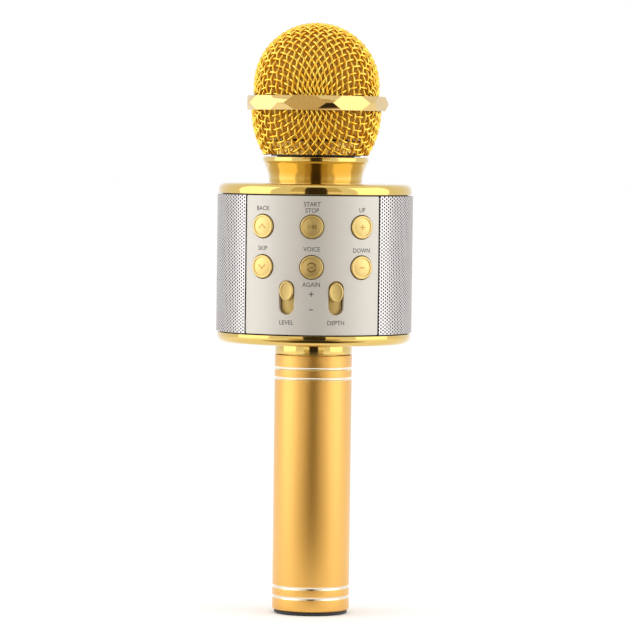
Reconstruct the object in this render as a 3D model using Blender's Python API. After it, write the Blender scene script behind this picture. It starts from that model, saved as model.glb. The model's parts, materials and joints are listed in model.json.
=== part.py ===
"""Karaoke microphone with a speaker barrel, as an assembly of its separate pieces.

The frame is in metres with +Z up. The origin is the middle of the flat foot that the microphone stands
on, and the control panel faces -Y. Angles round the barrel are counted from the front, positive towards +X.
"""

import math

import bmesh
import bpy
from mathutils import Vector

MM = 0.001
GAP = 0.3 * MM  # clearance between pieces that touch

# Handle
TUBE_RADIUS = 16.0 * MM
TUBE_BORE = 14.4 * MM
TUBE_LOW = 1.5 * MM
TUBE_HIGH = 107.5 * MM
TUBE_CORNER = 0.7 * MM
PLUG_DEPTH = 8.0 * MM
GROOVE_HEIGHTS = (7.1 * MM, 11.25 * MM, 97.8 * MM, 101.95 * MM)
GROOVE_WIDTH = 1.25 * MM
GROOVE_DEPTH = 0.4 * MM
FOOT_RADIUS = 15.2 * MM
FOOT_CORNER = 0.5 * MM
COLLAR_LOW = TUBE_HIGH + GAP
COLLAR_HIGH = 112.2 * MM
COLLAR_BORE = 10.5 * MM
COLLAR_SPIGOTS = (98.0 * MM, 12.6 * MM)  # lower end of the lower one, radius of the upper one

# Battery: one 18650 cell in a trough
CELL_RADIUS = 9.2 * MM
CELL_LOW = 21.0 * MM
CELL_HIGH = 86.0 * MM
CARRIER_RADIUS = 13.4 * MM
CARRIER_WALL = 2.0 * MM

# Speaker barrel
CAP_RADIUS = 40.1 * MM
CAP_FLOOR = 2.0 * MM
CAP_FILLET = 2.6 * MM
CAP_RIM = 1.5 * MM
BARREL_LOW = 112.5 * MM
BARREL_HIGH = 178.4 * MM
WALL_LOW = 117.2 * MM  # lower edge of the panels and grilles
WALL_HIGH = 173.6 * MM
WALL_MIDDLE = (WALL_LOW + WALL_HIGH) / 2
PANEL_RADIUS = 40.2 * MM
PANEL_THICKNESS = 2.0 * MM
PANEL_HALF_ANGLE = math.radians(42.0)
PANEL_STRIPS = 17  # an odd number keeps every fold off the middle line, where the openings are centred
GRILLE_RADIUS = 40.5 * MM
GRILLE_THICKNESS = 0.8 * MM
GRILLE_HALF_ANGLE = math.radians(47.4)

# Controls on the front panel
BUTTON_RADIUS = 4.65 * MM
BUTTON_HOLE = 5.0 * MM
BUTTON_FLANGE = 5.7 * MM
BUTTON_COLUMN = math.radians(30.0)
BUTTON_ROWS = (161.1 * MM, 144.7 * MM)
SLIDER_ANGLE = math.radians(14.5)
SLOT_HEIGHT = 132.3 * MM
SLOT_LENGTH = 13.8 * MM
SLOT_WIDTH = 6.3 * MM
KNOB_LENGTH = 7.9 * MM
KNOB_WIDTH = 5.7 * MM
SLIDER_TRAVEL = 5.5 * MM
ECHO_REST = 0.5 * MM  # the echo knob rests this far below the upper end of its slot

# Rear panel
SWITCH_HEIGHT = 160.5 * MM
SWITCH_TRAVEL = 2.6 * MM
SWITCH_SLOT = (3.6 * MM, 8.0 * MM)
SWITCH_KNOB = (3.0 * MM, 4.6 * MM)
LIGHT_HEIGHT = 151.0 * MM
CHARGE_HEIGHT = 143.5 * MM
CARD_HEIGHT = 135.0 * MM
JACK_HEIGHT = 126.0 * MM

# Boards and chassis
BOARD_INNER = 31.7 * MM
BOARD_THICKNESS = 1.2 * MM
CHASSIS_HALF_WIDTH = 26.0 * MM
CHASSIS_HALF_DEPTH = 27.2 * MM
CHASSIS_WALL = 24.0 * MM
CHASSIS_LOW = 114.8 * MM
CHASSIS_HIGH = 176.1 * MM
SPEAKER_HOLE = 21.6 * MM
FRONT_SCREWS = ((0.0, 124.0 * MM), (0.0, 168.2 * MM))
REAR_SCREWS = ((10.5 * MM, 165.0 * MM), (-10.5 * MM, 125.0 * MM))
BOSS_RADIUS = 2.4 * MM
REAR_BOARD_FACE = 31.5 * MM
BATTERY_LEAD_HEIGHT = 131.0 * MM
CAPSULE_LEAD_HEIGHT = 153.0 * MM
LEAD_RADIUS = 1.2 * MM

# Neck and head
NECK_LOW = 176.5 * MM
NECK_BORE = 16.3 * MM
NECK_RIM = 21.9 * MM
NECK_HIGH = 189.3 * MM
SOCKET_BORE = 13.5 * MM
SOCKET_RADIUS = 19.0 * MM  # the threaded part that the head screws onto
SOCKET_HIGH = 196.4 * MM
HEAD_LOW = 189.9 * MM
HEAD_BULGE = 27.0 * MM
BULGE_HEIGHT = 208.0 * MM
DOME_RADIUS = 26.2 * MM
DOME_HEIGHT = 218.8 * MM
HEAD_FLARE = 33.75 * MM  # radius of the arc that the lower half of the head follows
MESH_THICKNESS = 1.0 * MM
TUCK_RADIUS = 26.5 * MM  # the mesh edges slip inside the band here
FOAM_OUTER = 24.3 * MM
FOAM_INNER = 21.3 * MM
BAND_LOW = 208.5 * MM
BAND_HIGH = 214.5 * MM
BAND_BORE = 27.3 * MM
BAND_FACETS = 9
BAND_APOTHEM = 28.55 * MM
BAND_TURN = math.radians(-7.9)
FACET_WAIST = math.radians(17.3)
FACET_EDGE = math.radians(9.0)

ROUND = 32  # sides of a large turned piece
SMALL_ROUND = 16

LOOKS = {
    "satin_gold": ((0.80, 0.53, 0.20), 1.0, 0.38),
    "polished_gold": ((0.86, 0.62, 0.28), 1.0, 0.10),
    "mesh_gold": ((0.80, 0.58, 0.26), 1.0, 0.25),
    "panel_silver": ((0.68, 0.64, 0.60), 0.6, 0.38),
    "grille_silver": ((0.62, 0.60, 0.57), 1.0, 0.30),
    "black_plastic": ((0.015, 0.015, 0.016), 0.0, 0.45),
    "chassis_plastic": ((0.06, 0.06, 0.065), 0.0, 0.6),
    "circuit_board": ((0.02, 0.16, 0.07), 0.0, 0.4),
    "steel": ((0.60, 0.60, 0.61), 1.0, 0.3),
    "speaker_frame": ((0.10, 0.10, 0.11), 0.8, 0.5),
    "speaker_cone": ((0.03, 0.03, 0.035), 0.0, 0.8),
    "magnet": ((0.12, 0.12, 0.13), 0.9, 0.45),
    "battery_wrap": ((0.05, 0.22, 0.55), 0.0, 0.35),
    "foam": ((0.02, 0.02, 0.02), 0.0, 1.0),
    "rubber": ((0.03, 0.03, 0.03), 0.0, 0.8),
    "light_lens": ((0.75, 0.85, 0.95), 0.0, 0.15),
}


def clear_scene():
    for old in list(bpy.data.objects):
        bpy.data.objects.remove(old)


def look(name):
    """The material of this name, made on first use."""
    if name in bpy.data.materials:
        return bpy.data.materials[name]
    colour, metallic, roughness = LOOKS[name]
    made = bpy.data.materials.new(name)
    made.use_nodes = True
    shader = made.node_tree.nodes["Principled BSDF"]
    shader.inputs["Base Color"].default_value = (*colour, 1.0)
    shader.inputs["Metallic"].default_value = metallic
    shader.inputs["Roughness"].default_value = roughness
    return made


def finished(name, bm, finish):
    """Makes an object of the bmesh, with its faces turned outwards and its round sides smooth."""
    bmesh.ops.recalc_face_normals(bm, faces=bm.faces)
    mesh = bpy.data.meshes.new(name)
    bm.to_mesh(mesh)
    bm.free()
    mesh.shade_smooth()
    mesh.set_sharp_from_angle(angle=math.radians(35))
    if finish:
        mesh.materials.append(look(finish))
    made = bpy.data.objects.new(name, mesh)
    bpy.context.scene.collection.objects.link(made)
    return made


def turned(name, outline, finish=None, sides=ROUND):
    """A solid of revolution about Z from a closed outline of (radius, height) points."""
    bm = bmesh.new()
    points = [bm.verts.new((radius, 0.0, height)) for radius, height in outline]
    edges = []
    for start, end in zip(points, points[1:] + points[:1]):
        if start.co.x > 0.0 or end.co.x > 0.0:
            edges.append(bm.edges.new((start, end)))
    bmesh.ops.spin(
        bm,
        geom=points + edges,
        cent=(0.0, 0.0, 0.0),
        axis=(0.0, 0.0, 1.0),
        angle=math.tau,
        steps=sides,
        use_merge=True,
    )
    bmesh.ops.remove_doubles(bm, verts=bm.verts, dist=1e-6)
    return finished(name, bm, finish)


def extruded(name, outline, low, high, finish=None):
    """A flat outline of (x, y) points, extruded from height low to height high."""
    bm = bmesh.new()
    base = bm.faces.new([bm.verts.new((x, y, low)) for x, y in outline])
    grown = bmesh.ops.extrude_face_region(bm, geom=[base])["geom"]
    moved = [part for part in grown if isinstance(part, bmesh.types.BMVert)]
    bmesh.ops.translate(bm, verts=moved, vec=(0.0, 0.0, high - low))
    return finished(name, bm, finish)


def block(name, low, high, finish=None):
    """A box between two corners."""
    corners = ((low[0], low[1]), (high[0], low[1]), (high[0], high[1]), (low[0], high[1]))
    return extruded(name, corners, low[2], high[2], finish)


def arc_points(centre, radius, start, end, steps):
    """Points along an arc in a plane, from the angle start to the angle end in degrees."""
    points = []
    for i in range(steps + 1):
        angle = math.radians(start + (end - start) * i / steps)
        points.append((centre[0] + radius * math.cos(angle), centre[1] + radius * math.sin(angle)))
    return points


def stadium(width, length, steps=6):
    """A slot outline with round ends, long along Y."""
    radius = width / 2
    straight = length / 2 - radius
    upper = arc_points((0.0, straight), radius, 0, 180, steps)
    lower = arc_points((0.0, -straight), radius, 180, 360, steps)
    return upper + lower


def rounded_rectangle(width, height, radius, steps=3):
    x = width / 2 - radius
    y = height / 2 - radius
    outline = []
    for quarter, corner in enumerate(((x, y), (-x, y), (-x, -y), (x, -y))):
        outline += arc_points(corner, radius, 90 * quarter, 90 * quarter + 90, steps)
    return outline


def ellipse(width, length, steps=20):
    angles = [math.tau * i / steps for i in range(steps)]
    return [(width / 2 * math.cos(angle), length / 2 * math.sin(angle)) for angle in angles]


def barrel_arc(name, inner, outer, half_angle, middle, finish, steps):
    """A part of the barrel's wall: a curved plate about the angle middle."""
    angles = [middle - half_angle + 2 * half_angle * i / steps for i in range(steps + 1)]
    outline = [(outer * math.sin(angle), -outer * math.cos(angle)) for angle in angles]
    outline += [(inner * math.sin(angle), -inner * math.cos(angle)) for angle in reversed(angles)]
    return extruded(name, outline, WALL_LOW, WALL_HIGH, finish)


def boolean(target, tool, operation="DIFFERENCE"):
    tool.hide_render = True
    tool.display_type = "WIRE"
    modifier = target.modifiers.new(tool.name, "BOOLEAN")
    modifier.operation = operation
    modifier.solver = "EXACT"
    modifier.object = tool


def bored(target, tools):
    """Cuts several separate holes at once."""
    group = bpy.data.collections.new(f"{target.name}_holes")
    bpy.context.scene.collection.children.link(group)
    for tool in tools:
        tool.hide_render = True
        tool.display_type = "WIRE"
        group.objects.link(tool)
        bpy.context.scene.collection.objects.unlink(tool)
    modifier = target.modifiers.new(group.name, "BOOLEAN")
    modifier.operation = "DIFFERENCE"
    modifier.solver = "EXACT"
    modifier.operand_type = "COLLECTION"
    modifier.collection = group


def face_out(piece, angle, height, radius=PANEL_RADIUS):
    """Sets a piece on the barrel's wall: its own +Z points outwards at this angle and its +Y points up."""
    piece.location = (radius * math.sin(angle), -radius * math.cos(angle), height)
    piece.rotation_euler = (math.pi / 2, 0.0, angle)
    return piece


def make_handle():
    plug = [
        (0.0, 0.0),
        (FOOT_RADIUS - FOOT_CORNER, 0.0),
        (FOOT_RADIUS, FOOT_CORNER),
        (FOOT_RADIUS, TUBE_LOW - GAP),
        (TUBE_BORE - GAP, TUBE_LOW - GAP),
        (TUBE_BORE - GAP, PLUG_DEPTH),
        (0.0, PLUG_DEPTH),
    ]
    turned("tail_plug", plug, "black_plastic")

    tube = [
        (TUBE_BORE, TUBE_LOW),
        (TUBE_RADIUS - TUBE_CORNER, TUBE_LOW),
        (TUBE_RADIUS, TUBE_LOW + TUBE_CORNER),
    ]
    for height in GROOVE_HEIGHTS:
        tube.append((TUBE_RADIUS, height - GROOVE_WIDTH / 2))
        tube.append((TUBE_RADIUS - GROOVE_DEPTH, height))
        tube.append((TUBE_RADIUS, height + GROOVE_WIDTH / 2))
    tube += [(TUBE_RADIUS, TUBE_HIGH), (TUBE_BORE, TUBE_HIGH)]
    turned("handle_tube", tube, "satin_gold")

    spigot_low, upper_spigot = COLLAR_SPIGOTS
    collar = [
        (COLLAR_BORE, spigot_low),
        (TUBE_BORE - GAP, spigot_low),
        (TUBE_BORE - GAP, COLLAR_LOW),
        (TUBE_RADIUS, COLLAR_LOW),
        (TUBE_RADIUS, COLLAR_HIGH),
        (upper_spigot, COLLAR_HIGH),
        (upper_spigot, BARREL_LOW + CAP_FLOOR),
        (COLLAR_BORE, BARREL_LOW + CAP_FLOOR),
    ]
    turned("handle_collar", collar, "polished_gold")


def make_battery():
    shoulder = 0.6 * MM
    tip_radius = 3.0 * MM
    cell = [
        (0.0, CELL_LOW),
        (CELL_RADIUS, CELL_LOW),
        (CELL_RADIUS, CELL_HIGH - shoulder),
        (CELL_RADIUS - shoulder, CELL_HIGH),
        (tip_radius, CELL_HIGH),
        (tip_radius, CELL_HIGH + shoulder),
        (0.0, CELL_HIGH + shoulder),
    ]
    turned("battery_cell", cell, "battery_wrap", SMALL_ROUND)

    # The carrier is a trough with an end wall below and above the cell.
    half_round = arc_points((0.0, 0.0), CARRIER_RADIUS, 0, 180, 10)
    floor = CELL_LOW - GAP
    top = CELL_HIGH + 1.5 * MM
    carrier = extruded("battery_carrier", half_round, floor - CARRIER_WALL, top, "chassis_plastic")
    room = CELL_RADIUS + GAP
    above = top + 2.5 * MM
    pocket = turned("carrier_pocket", [(0.0, floor), (room, floor), (room, above), (0.0, above)], sides=20)
    boolean(carrier, pocket)


def cap_outline(bore, floor_inner_z, fillet_centre_z, rim_z, outer_z, start, end):
    """The outline of a dished cap: bore, outer face, fillet, rim, and the floor inside."""
    fillet = arc_points((CAP_RADIUS - CAP_FILLET, fillet_centre_z), CAP_FILLET, start, end, 4)
    inner = CAP_RADIUS - CAP_RIM
    wall = [(CAP_RADIUS, rim_z), (inner, rim_z), (inner, floor_inner_z)]
    return [(bore, outer_z), *fillet, *wall, (bore, floor_inner_z)]


def make_barrel_caps():
    bottom = cap_outline(
        COLLAR_SPIGOTS[1] + GAP,
        BARREL_LOW + CAP_FLOOR,
        BARREL_LOW + CAP_FILLET,
        WALL_LOW - 0.5 * MM,
        BARREL_LOW,
        -90,
        0,
    )
    turned("body_bottom_cap", bottom, "polished_gold")
    top = cap_outline(
        18.9 * MM,
        BARREL_HIGH - CAP_FLOOR,
        BARREL_HIGH - CAP_FILLET,
        WALL_HIGH + 0.5 * MM,
        BARREL_HIGH,
        90,
        0,
    )
    turned("body_top_cap", top, "polished_gold")


def opening(name, outline, angle, height):
    """A cutter that passes right through a panel."""
    return face_out(extruded(name, outline, -5 * MM, 5 * MM), angle, height)


def make_front_panel():
    inner = PANEL_RADIUS - PANEL_THICKNESS
    panel = barrel_arc(
        "front_panel", inner, PANEL_RADIUS, PANEL_HALF_ANGLE, 0.0, "panel_silver", PANEL_STRIPS
    )
    hole = arc_points((0.0, 0.0), BUTTON_HOLE, 0, 345, 23)
    cutters = []
    for row, height in enumerate(BUTTON_ROWS):
        for column in (-1, 0, 1):
            cutters.append(opening(f"hole_{row}_{column + 1}", hole, column * BUTTON_COLUMN, height))
    for side in (-1, 1):
        slot = stadium(SLOT_WIDTH, SLOT_LENGTH)
        cutters.append(opening(f"slot_{side + 1}", slot, side * SLIDER_ANGLE, SLOT_HEIGHT))
    bored(panel, cutters)


def make_rear_panel():
    inner = PANEL_RADIUS - PANEL_THICKNESS
    panel = barrel_arc(
        "rear_panel", inner, PANEL_RADIUS, PANEL_HALF_ANGLE, math.pi, "panel_silver", PANEL_STRIPS
    )
    openings = {
        "switch_slot": (rounded_rectangle(*SWITCH_SLOT, 0.8 * MM), SWITCH_HEIGHT),
        "light_hole": (arc_points((0.0, 0.0), 1.4 * MM, 0, 330, 11), LIGHT_HEIGHT),
        "charge_hole": (rounded_rectangle(9.8 * MM, 4.0 * MM, 1.7 * MM), CHARGE_HEIGHT),
        "card_hole": (rounded_rectangle(12.8 * MM, 2.5 * MM, 0.4 * MM), CARD_HEIGHT),
        "jack_hole": (arc_points((0.0, 0.0), 3.4 * MM, 0, 342, 19), JACK_HEIGHT),
    }
    cutters = []
    for name, (outline, height) in openings.items():
        cutters.append(opening(name, outline, math.pi, height))
    bored(panel, cutters)


def make_grilles():
    inner = GRILLE_RADIUS - GRILLE_THICKNESS
    for name, middle in (("left_grille", -math.pi / 2), ("right_grille", math.pi / 2)):
        barrel_arc(name, inner, GRILLE_RADIUS, GRILLE_HALF_ANGLE, middle, "grille_silver", 16)


def make_buttons():
    """Domed caps in the panel's holes, each with a flange behind the panel that keeps it in."""
    outline = [
        (0.0, -3.9 * MM),
        (1.8 * MM, -3.9 * MM),
        (1.8 * MM, -3.6 * MM),
        (BUTTON_FLANGE, -3.6 * MM),
        (BUTTON_FLANGE, -2.8 * MM),
        (BUTTON_RADIUS, -2.8 * MM),
        (BUTTON_RADIUS, 0.1 * MM),
        (BUTTON_RADIUS - 0.5 * MM, 0.45 * MM),
        (0.0, 0.75 * MM),
    ]
    names = (("previous", "play_pause", "volume_up"), ("next", "mic_replay", "volume_down"))
    for row, height in enumerate(BUTTON_ROWS):
        for column in (-1, 0, 1):
            name = names[row][column + 1]
            angle = column * BUTTON_COLUMN
            face_out(turned(f"{name}_button", outline, "polished_gold", SMALL_ROUND), angle, height)
            make_tact_switch(f"{name}_tact_switch", angle, height)


def make_tact_switch(name, angle, height):
    """A low square body with its plunger standing on it, under the button's stem."""
    half = 2.6 * MM
    bm = bmesh.new()
    corners = [bm.verts.new((x * half, y * half, -7.0 * MM)) for x, y in ((-1, -1), (1, -1), (1, 1), (-1, 1))]
    top = bm.faces.new(corners)
    grown = bmesh.ops.extrude_face_region(bm, geom=[top])["geom"]
    lifted = [part for part in grown if isinstance(part, bmesh.types.BMVert)]
    bmesh.ops.translate(bm, verts=lifted, vec=(0.0, 0.0, 1.4 * MM))
    upper = [part for part in grown if isinstance(part, bmesh.types.BMFace)]
    bmesh.ops.inset_region(bm, faces=upper, thickness=1.3 * MM)
    plunger = bmesh.ops.extrude_face_region(bm, geom=upper)["geom"]
    lifted = [part for part in plunger if isinstance(part, bmesh.types.BMVert)]
    bmesh.ops.translate(bm, verts=lifted, vec=(0.0, 0.0, 0.6 * MM))
    stale = [face for face in upper if face.is_valid]
    bmesh.ops.delete(bm, geom=stale, context="FACES_ONLY")
    face_out(finished(name, bm, "steel"), angle, height)


def make_slide_knob(name, outline, plate_size, lever_size, top, finish, angle, height):
    """A knob that stands out of its slot, on a cover plate behind the panel, with a lever below it."""
    knob = extruded(name, outline, -2.8 * MM, top, finish)
    bevel = knob.modifiers.new("soft_edge", "BEVEL")
    bevel.width = 0.35 * MM
    bevel.segments = 2
    bevel.limit_method = "ANGLE"
    bevel.angle_limit = math.radians(60)
    half_x, half_y = plate_size[0] / 2, plate_size[1] / 2
    plate = block(f"{name}_plate", (-half_x, -half_y, -3.1 * MM), (half_x, half_y, -2.5 * MM))
    lever_x, lever_y = lever_size[0] / 2, lever_size[1] / 2
    lever = block(f"{name}_lever", (-lever_x, -lever_y, -5.2 * MM), (lever_x, lever_y, -2.7 * MM))
    for part in (knob, plate, lever):
        face_out(part, angle, height)
    boolean(knob, plate, "UNION")
    boolean(knob, lever, "UNION")


def make_track_body(name, size, slit, finish, angle, height):
    """The body of a sliding control, with the slit that its lever moves in."""
    half_x, half_y = size[0] / 2, size[1] / 2
    body = block(name, (-half_x, -half_y, -7.0 * MM), (half_x, half_y, -3.5 * MM), finish)
    half_x, half_y = slit[0] / 2, slit[1] / 2
    cutter = block(f"{name}_slit", (-half_x, -half_y, -5.7 * MM), (half_x, half_y, -3.0 * MM))
    for part in (body, cutter):
        face_out(part, angle, height)
    boolean(body, cutter)


def make_sliders():
    upper_end = SLOT_HEIGHT + SLIDER_TRAVEL / 2
    cap = ellipse(KNOB_WIDTH, KNOB_LENGTH)
    plate = (5.8 * MM, 21.0 * MM)
    lever = (1.2 * MM, 1.6 * MM)
    for name, side, rest in (("mic_volume", -1, 0.0), ("echo", 1, ECHO_REST)):
        angle = side * SLIDER_ANGLE
        make_slide_knob(f"{name}_knob", cap, plate, lever, 1.1 * MM, "polished_gold", angle, upper_end - rest)
        make_track_body(
            f"{name}_slide_control",
            (6.6 * MM, 14.6 * MM),
            (2.0 * MM, SLIDER_TRAVEL + 2.4 * MM),
            "steel",
            angle,
            SLOT_HEIGHT,
        )


def make_power_switch():
    rest = SWITCH_HEIGHT - SWITCH_TRAVEL / 2
    cap = rounded_rectangle(*SWITCH_KNOB, 0.6 * MM)
    plate = (4.6 * MM, 14.0 * MM)
    lever = (1.0 * MM, 1.4 * MM)
    make_slide_knob("power_switch_knob", cap, plate, lever, 1.0 * MM, "black_plastic", math.pi, rest)
    make_track_body(
        "power_switch_body",
        (7.0 * MM, 9.5 * MM),
        (1.6 * MM, SWITCH_TRAVEL + 2.2 * MM),
        "steel",
        math.pi,
        SWITCH_HEIGHT,
    )


def make_ports():
    """Light, charging port, card socket and audio jack, which stand on the rear board."""
    seat = -7.2 * MM
    lens = 1.05 * MM
    light = [(0.0, seat), (lens, seat), (lens, -0.5 * MM), (0.6 * MM, -0.2 * MM), (0.0, -0.1 * MM)]
    face_out(turned("status_light", light, "light_lens", 12), math.pi, LIGHT_HEIGHT)

    outline = rounded_rectangle(9.0 * MM, 3.2 * MM, 1.5 * MM)
    shell = extruded("charging_port", outline, seat, -0.5 * MM, "steel")
    mouth = extruded("charging_mouth", rounded_rectangle(8.4 * MM, 2.6 * MM, 1.2 * MM), -5.5 * MM, 0.5 * MM)
    tongue = block("charging_tongue", (-3.3 * MM, -0.35 * MM, -6.0 * MM), (3.3 * MM, 0.35 * MM, -1.4 * MM))
    for part in (shell, mouth, tongue):
        face_out(part, math.pi, CHARGE_HEIGHT)
    boolean(mouth, tongue)
    boolean(shell, mouth)

    outline = rounded_rectangle(12.0 * MM, 1.9 * MM, 0.2 * MM)
    socket = extruded("card_socket", outline, seat, -0.6 * MM, "steel")
    mouth = block("card_mouth", (-5.6 * MM, -0.45 * MM, -5.5 * MM), (5.6 * MM, 0.45 * MM, 0.5 * MM))
    for part in (socket, mouth):
        face_out(part, math.pi, CARD_HEIGHT)
    boolean(socket, mouth)

    jack = [
        (0.0, seat),
        (3.6 * MM, seat),
        (3.6 * MM, -3.2 * MM),
        (3.0 * MM, -3.2 * MM),
        (3.0 * MM, -0.2 * MM),
        (1.8 * MM, -0.2 * MM),
        (1.8 * MM, -6.0 * MM),
        (0.0, -6.0 * MM),
    ]
    face_out(turned("audio_jack", jack, "black_plastic", SMALL_ROUND), math.pi, JACK_HEIGHT)


def make_boards():
    board_outer = BOARD_INNER + BOARD_THICKNESS
    half_angle = math.radians(38.0)
    board = barrel_arc("control_board", BOARD_INNER, board_outer, half_angle, 0.0, "circuit_board", 12)
    top_trim = block("board_top_trim", (-30 * MM, -40 * MM, 170.5 * MM), (30 * MM, -20 * MM, 180 * MM))
    low_trim = block("board_low_trim", (-30 * MM, -40 * MM, 110 * MM), (30 * MM, -20 * MM, 120.5 * MM))
    boolean(board, top_trim)
    boolean(board, low_trim)

    rear = block(
        "rear_board",
        (-13.0 * MM, REAR_BOARD_FACE, 121.0 * MM),
        (13.0 * MM, REAR_BOARD_FACE + BOARD_THICKNESS, 169.0 * MM),
        "circuit_board",
    )
    hole = arc_points((0.0, 0.0), 1.3 * MM, 0, 330, 11)
    for target, places, angle in ((board, FRONT_SCREWS, 0.0), (rear, REAR_SCREWS, math.pi)):
        for number, (x, height) in enumerate(places):
            cutter = extruded(f"{target.name}_hole_{number}", hole, -12 * MM, -5 * MM)
            face_out(cutter, angle, height)
            cutter.location.x = x
            boolean(target, cutter)


def make_screws():
    """Pan head screws that hold the two boards to the chassis."""
    outline = [
        (0.0, -13.4 * MM),
        (0.9 * MM, -13.0 * MM),
        (0.9 * MM, -7.0 * MM),
        (1.8 * MM, -7.0 * MM),
        (1.8 * MM, -6.2 * MM),
        (1.0 * MM, -5.7 * MM),
        (0.0, -5.6 * MM),
    ]
    for board, places, angle in (("control_board", FRONT_SCREWS, 0.0), ("rear_board", REAR_SCREWS, math.pi)):
        for number, (x, height) in enumerate(places):
            screw = turned(f"{board}_screw_{number + 1}", outline, "steel", 12)
            face_out(screw, angle, height)
            screw.location.x = x


def add_board_bosses(chassis):
    """Round posts that reach from the front and rear walls to the boards, bored for their screws."""
    root = CHASSIS_WALL - 1.0 * MM - PANEL_RADIUS
    holes = []
    for side, places, angle, board_face in (
        ("front", FRONT_SCREWS, 0.0, BOARD_INNER),
        ("rear", REAR_SCREWS, math.pi, REAR_BOARD_FACE),
    ):
        end = board_face - GAP - PANEL_RADIUS
        floor = end - 6.0 * MM
        for number, (x, height) in enumerate(places):
            outline = [(0.0, root), (BOSS_RADIUS, root), (BOSS_RADIUS, end), (0.0, end)]
            post = face_out(turned(f"{side}_post_{number}", outline, sides=12), angle, height)
            outline = [(0.0, floor), (1.2 * MM, floor), (1.2 * MM, end + MM), (0.0, end + MM)]
            bore = face_out(turned(f"{side}_bore_{number}", outline, sides=12), angle, height)
            post.location.x = x
            bore.location.x = x
            boolean(chassis, post, "UNION")
            holes.append(bore)
    near = 20 * MM - PANEL_RADIUS
    far = 28 * MM - PANEL_RADIUS
    for name, height in (("battery", BATTERY_LEAD_HEIGHT), ("capsule", CAPSULE_LEAD_HEIGHT)):
        outline = [(0.0, near), (2.0 * MM, near), (2.0 * MM, far), (0.0, far)]
        holes.append(face_out(turned(f"{name}_lead_hole", outline, sides=12), 0.0, height))
    bored(chassis, holes)


def make_chassis():
    """Two end plates joined by four walls: the side walls are the speaker baffles."""
    shoulder = 38.3 * MM
    ledge = 39.4 * MM
    ledge_low = 117.0 * MM
    spool = [
        (12.0 * MM, CHASSIS_LOW),
        (shoulder, CHASSIS_LOW),
        (shoulder, ledge_low),
        (ledge, ledge_low),
        (ledge, WALL_HIGH),
        (shoulder, WALL_HIGH),
        (shoulder, CHASSIS_HIGH),
        (12.0 * MM, CHASSIS_HIGH),
    ]
    chassis = turned("barrel_chassis", spool, "chassis_plastic")
    low = 119.5 * MM
    high = 171.1 * MM
    far = 45.0 * MM
    pocket = CHASSIS_HALF_WIDTH - 3.2 * MM
    panel_low = ledge_low - 0.2 * MM
    panel_high = WALL_HIGH + 0.2 * MM
    for side in (-1, 1):
        label = "ab"[side > 0]
        x_pair = sorted((side * CHASSIS_HALF_WIDTH, side * far))
        boolean(chassis, block(f"side_room_{label}", (x_pair[0], -far, low), (x_pair[1], far, high)))
        y_pair = sorted((side * CHASSIS_HALF_DEPTH, side * far))
        panel_room = block(f"panel_room_{label}", (-far, y_pair[0], panel_low), (far, y_pair[1], panel_high))
        boolean(chassis, panel_room)
        y_pair = sorted((side * CHASSIS_WALL, side * far))
        boolean(chassis, block(f"board_room_{label}", (-pocket, y_pair[0], low), (pocket, y_pair[1], high)))
    hollow = (CHASSIS_HALF_WIDTH - 2.5 * MM, CHASSIS_WALL - 2.0 * MM)
    boolean(chassis, block("chassis_hollow", (-hollow[0], -hollow[1], low), (hollow[0], hollow[1], high)))
    baffle_hole = turned(
        "baffle_hole", [(0.0, -far), (SPEAKER_HOLE, -far), (SPEAKER_HOLE, far), (0.0, far)], sides=24
    )
    baffle_hole.location = (0.0, 0.0, WALL_MIDDLE)
    baffle_hole.rotation_euler = (0.0, math.pi / 2, 0.0)
    boolean(chassis, baffle_hole)
    add_board_bosses(chassis)


def make_speakers():
    """A driver on each side wall, facing out. Heights, in millimetres, run outwards from the baffle."""
    frame = [
        (24.8, 0.0),
        (24.8, 2.0),
        (22.6, 2.0),
        (20.4, 0.2),
        (12.6, -11.2),
        (7.5, -11.2),
        (7.5, -12.6),
        (13.2, -12.6),
        (21.2, -0.4),
        (21.2, 0.0),
    ]
    cone = [
        (24.4, 2.3),
        (24.4, 2.9),
        (22.8, 2.9),
        (20.2, 4.4),
        (17.6, 2.6),
        (6.8, -4.4),
        (4.4, -3.1),
        (0.0, -2.6),
        (0.0, -3.3),
        (4.2, -3.8),
        (5.7, -5.0),
        (5.7, -10.8),
        (6.3, -10.8),
        (6.3, -5.4),
        (17.3, 1.7),
        (20.2, 3.7),
        (22.6, 2.3),
    ]
    magnet = [(0.0, -20.4), (13.0, -20.4), (13.0, -12.9), (0.0, -12.9)]
    for side, sign in (("left", -1), ("right", 1)):
        for part, outline, finish in (
            ("frame", frame, "speaker_frame"),
            ("cone", cone, "speaker_cone"),
            ("magnet", magnet, "magnet"),
        ):
            scaled = [(radius * MM, height * MM) for radius, height in outline]
            piece = turned(f"{side}_speaker_{part}", scaled, finish, SMALL_ROUND)
            piece.location = (sign * (CHASSIS_HALF_WIDTH + GAP), 0.0, WALL_MIDDLE)
            piece.rotation_euler = (0.0, sign * math.pi / 2, 0.0)


def make_neck():
    flare = [(18.6, 178.7), (19.25, 178.7), (19.5, 181.5), (19.9, 183.1)]
    flare += [(20.5, 184.8), (21.2, 186.5), (21.55, 187.4)]
    outline = [(NECK_BORE, NECK_LOW), (flare[0][0] * MM, NECK_LOW)]
    outline += [(radius * MM, height * MM) for radius, height in flare]
    outline += [(NECK_RIM, 187.6 * MM), (NECK_RIM, NECK_HIGH), (NECK_BORE, NECK_HIGH)]
    turned("neck_collar", outline, "polished_gold")

    socket_low = NECK_HIGH + GAP
    socket = [
        (SOCKET_BORE, NECK_LOW),
        (NECK_BORE - GAP, NECK_LOW),
        (NECK_BORE - GAP, socket_low),
        (SOCKET_RADIUS, socket_low),
        (SOCKET_RADIUS, SOCKET_HIGH),
        (SOCKET_BORE, SOCKET_HIGH),
    ]
    turned("head_socket", socket, "black_plastic")


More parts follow.
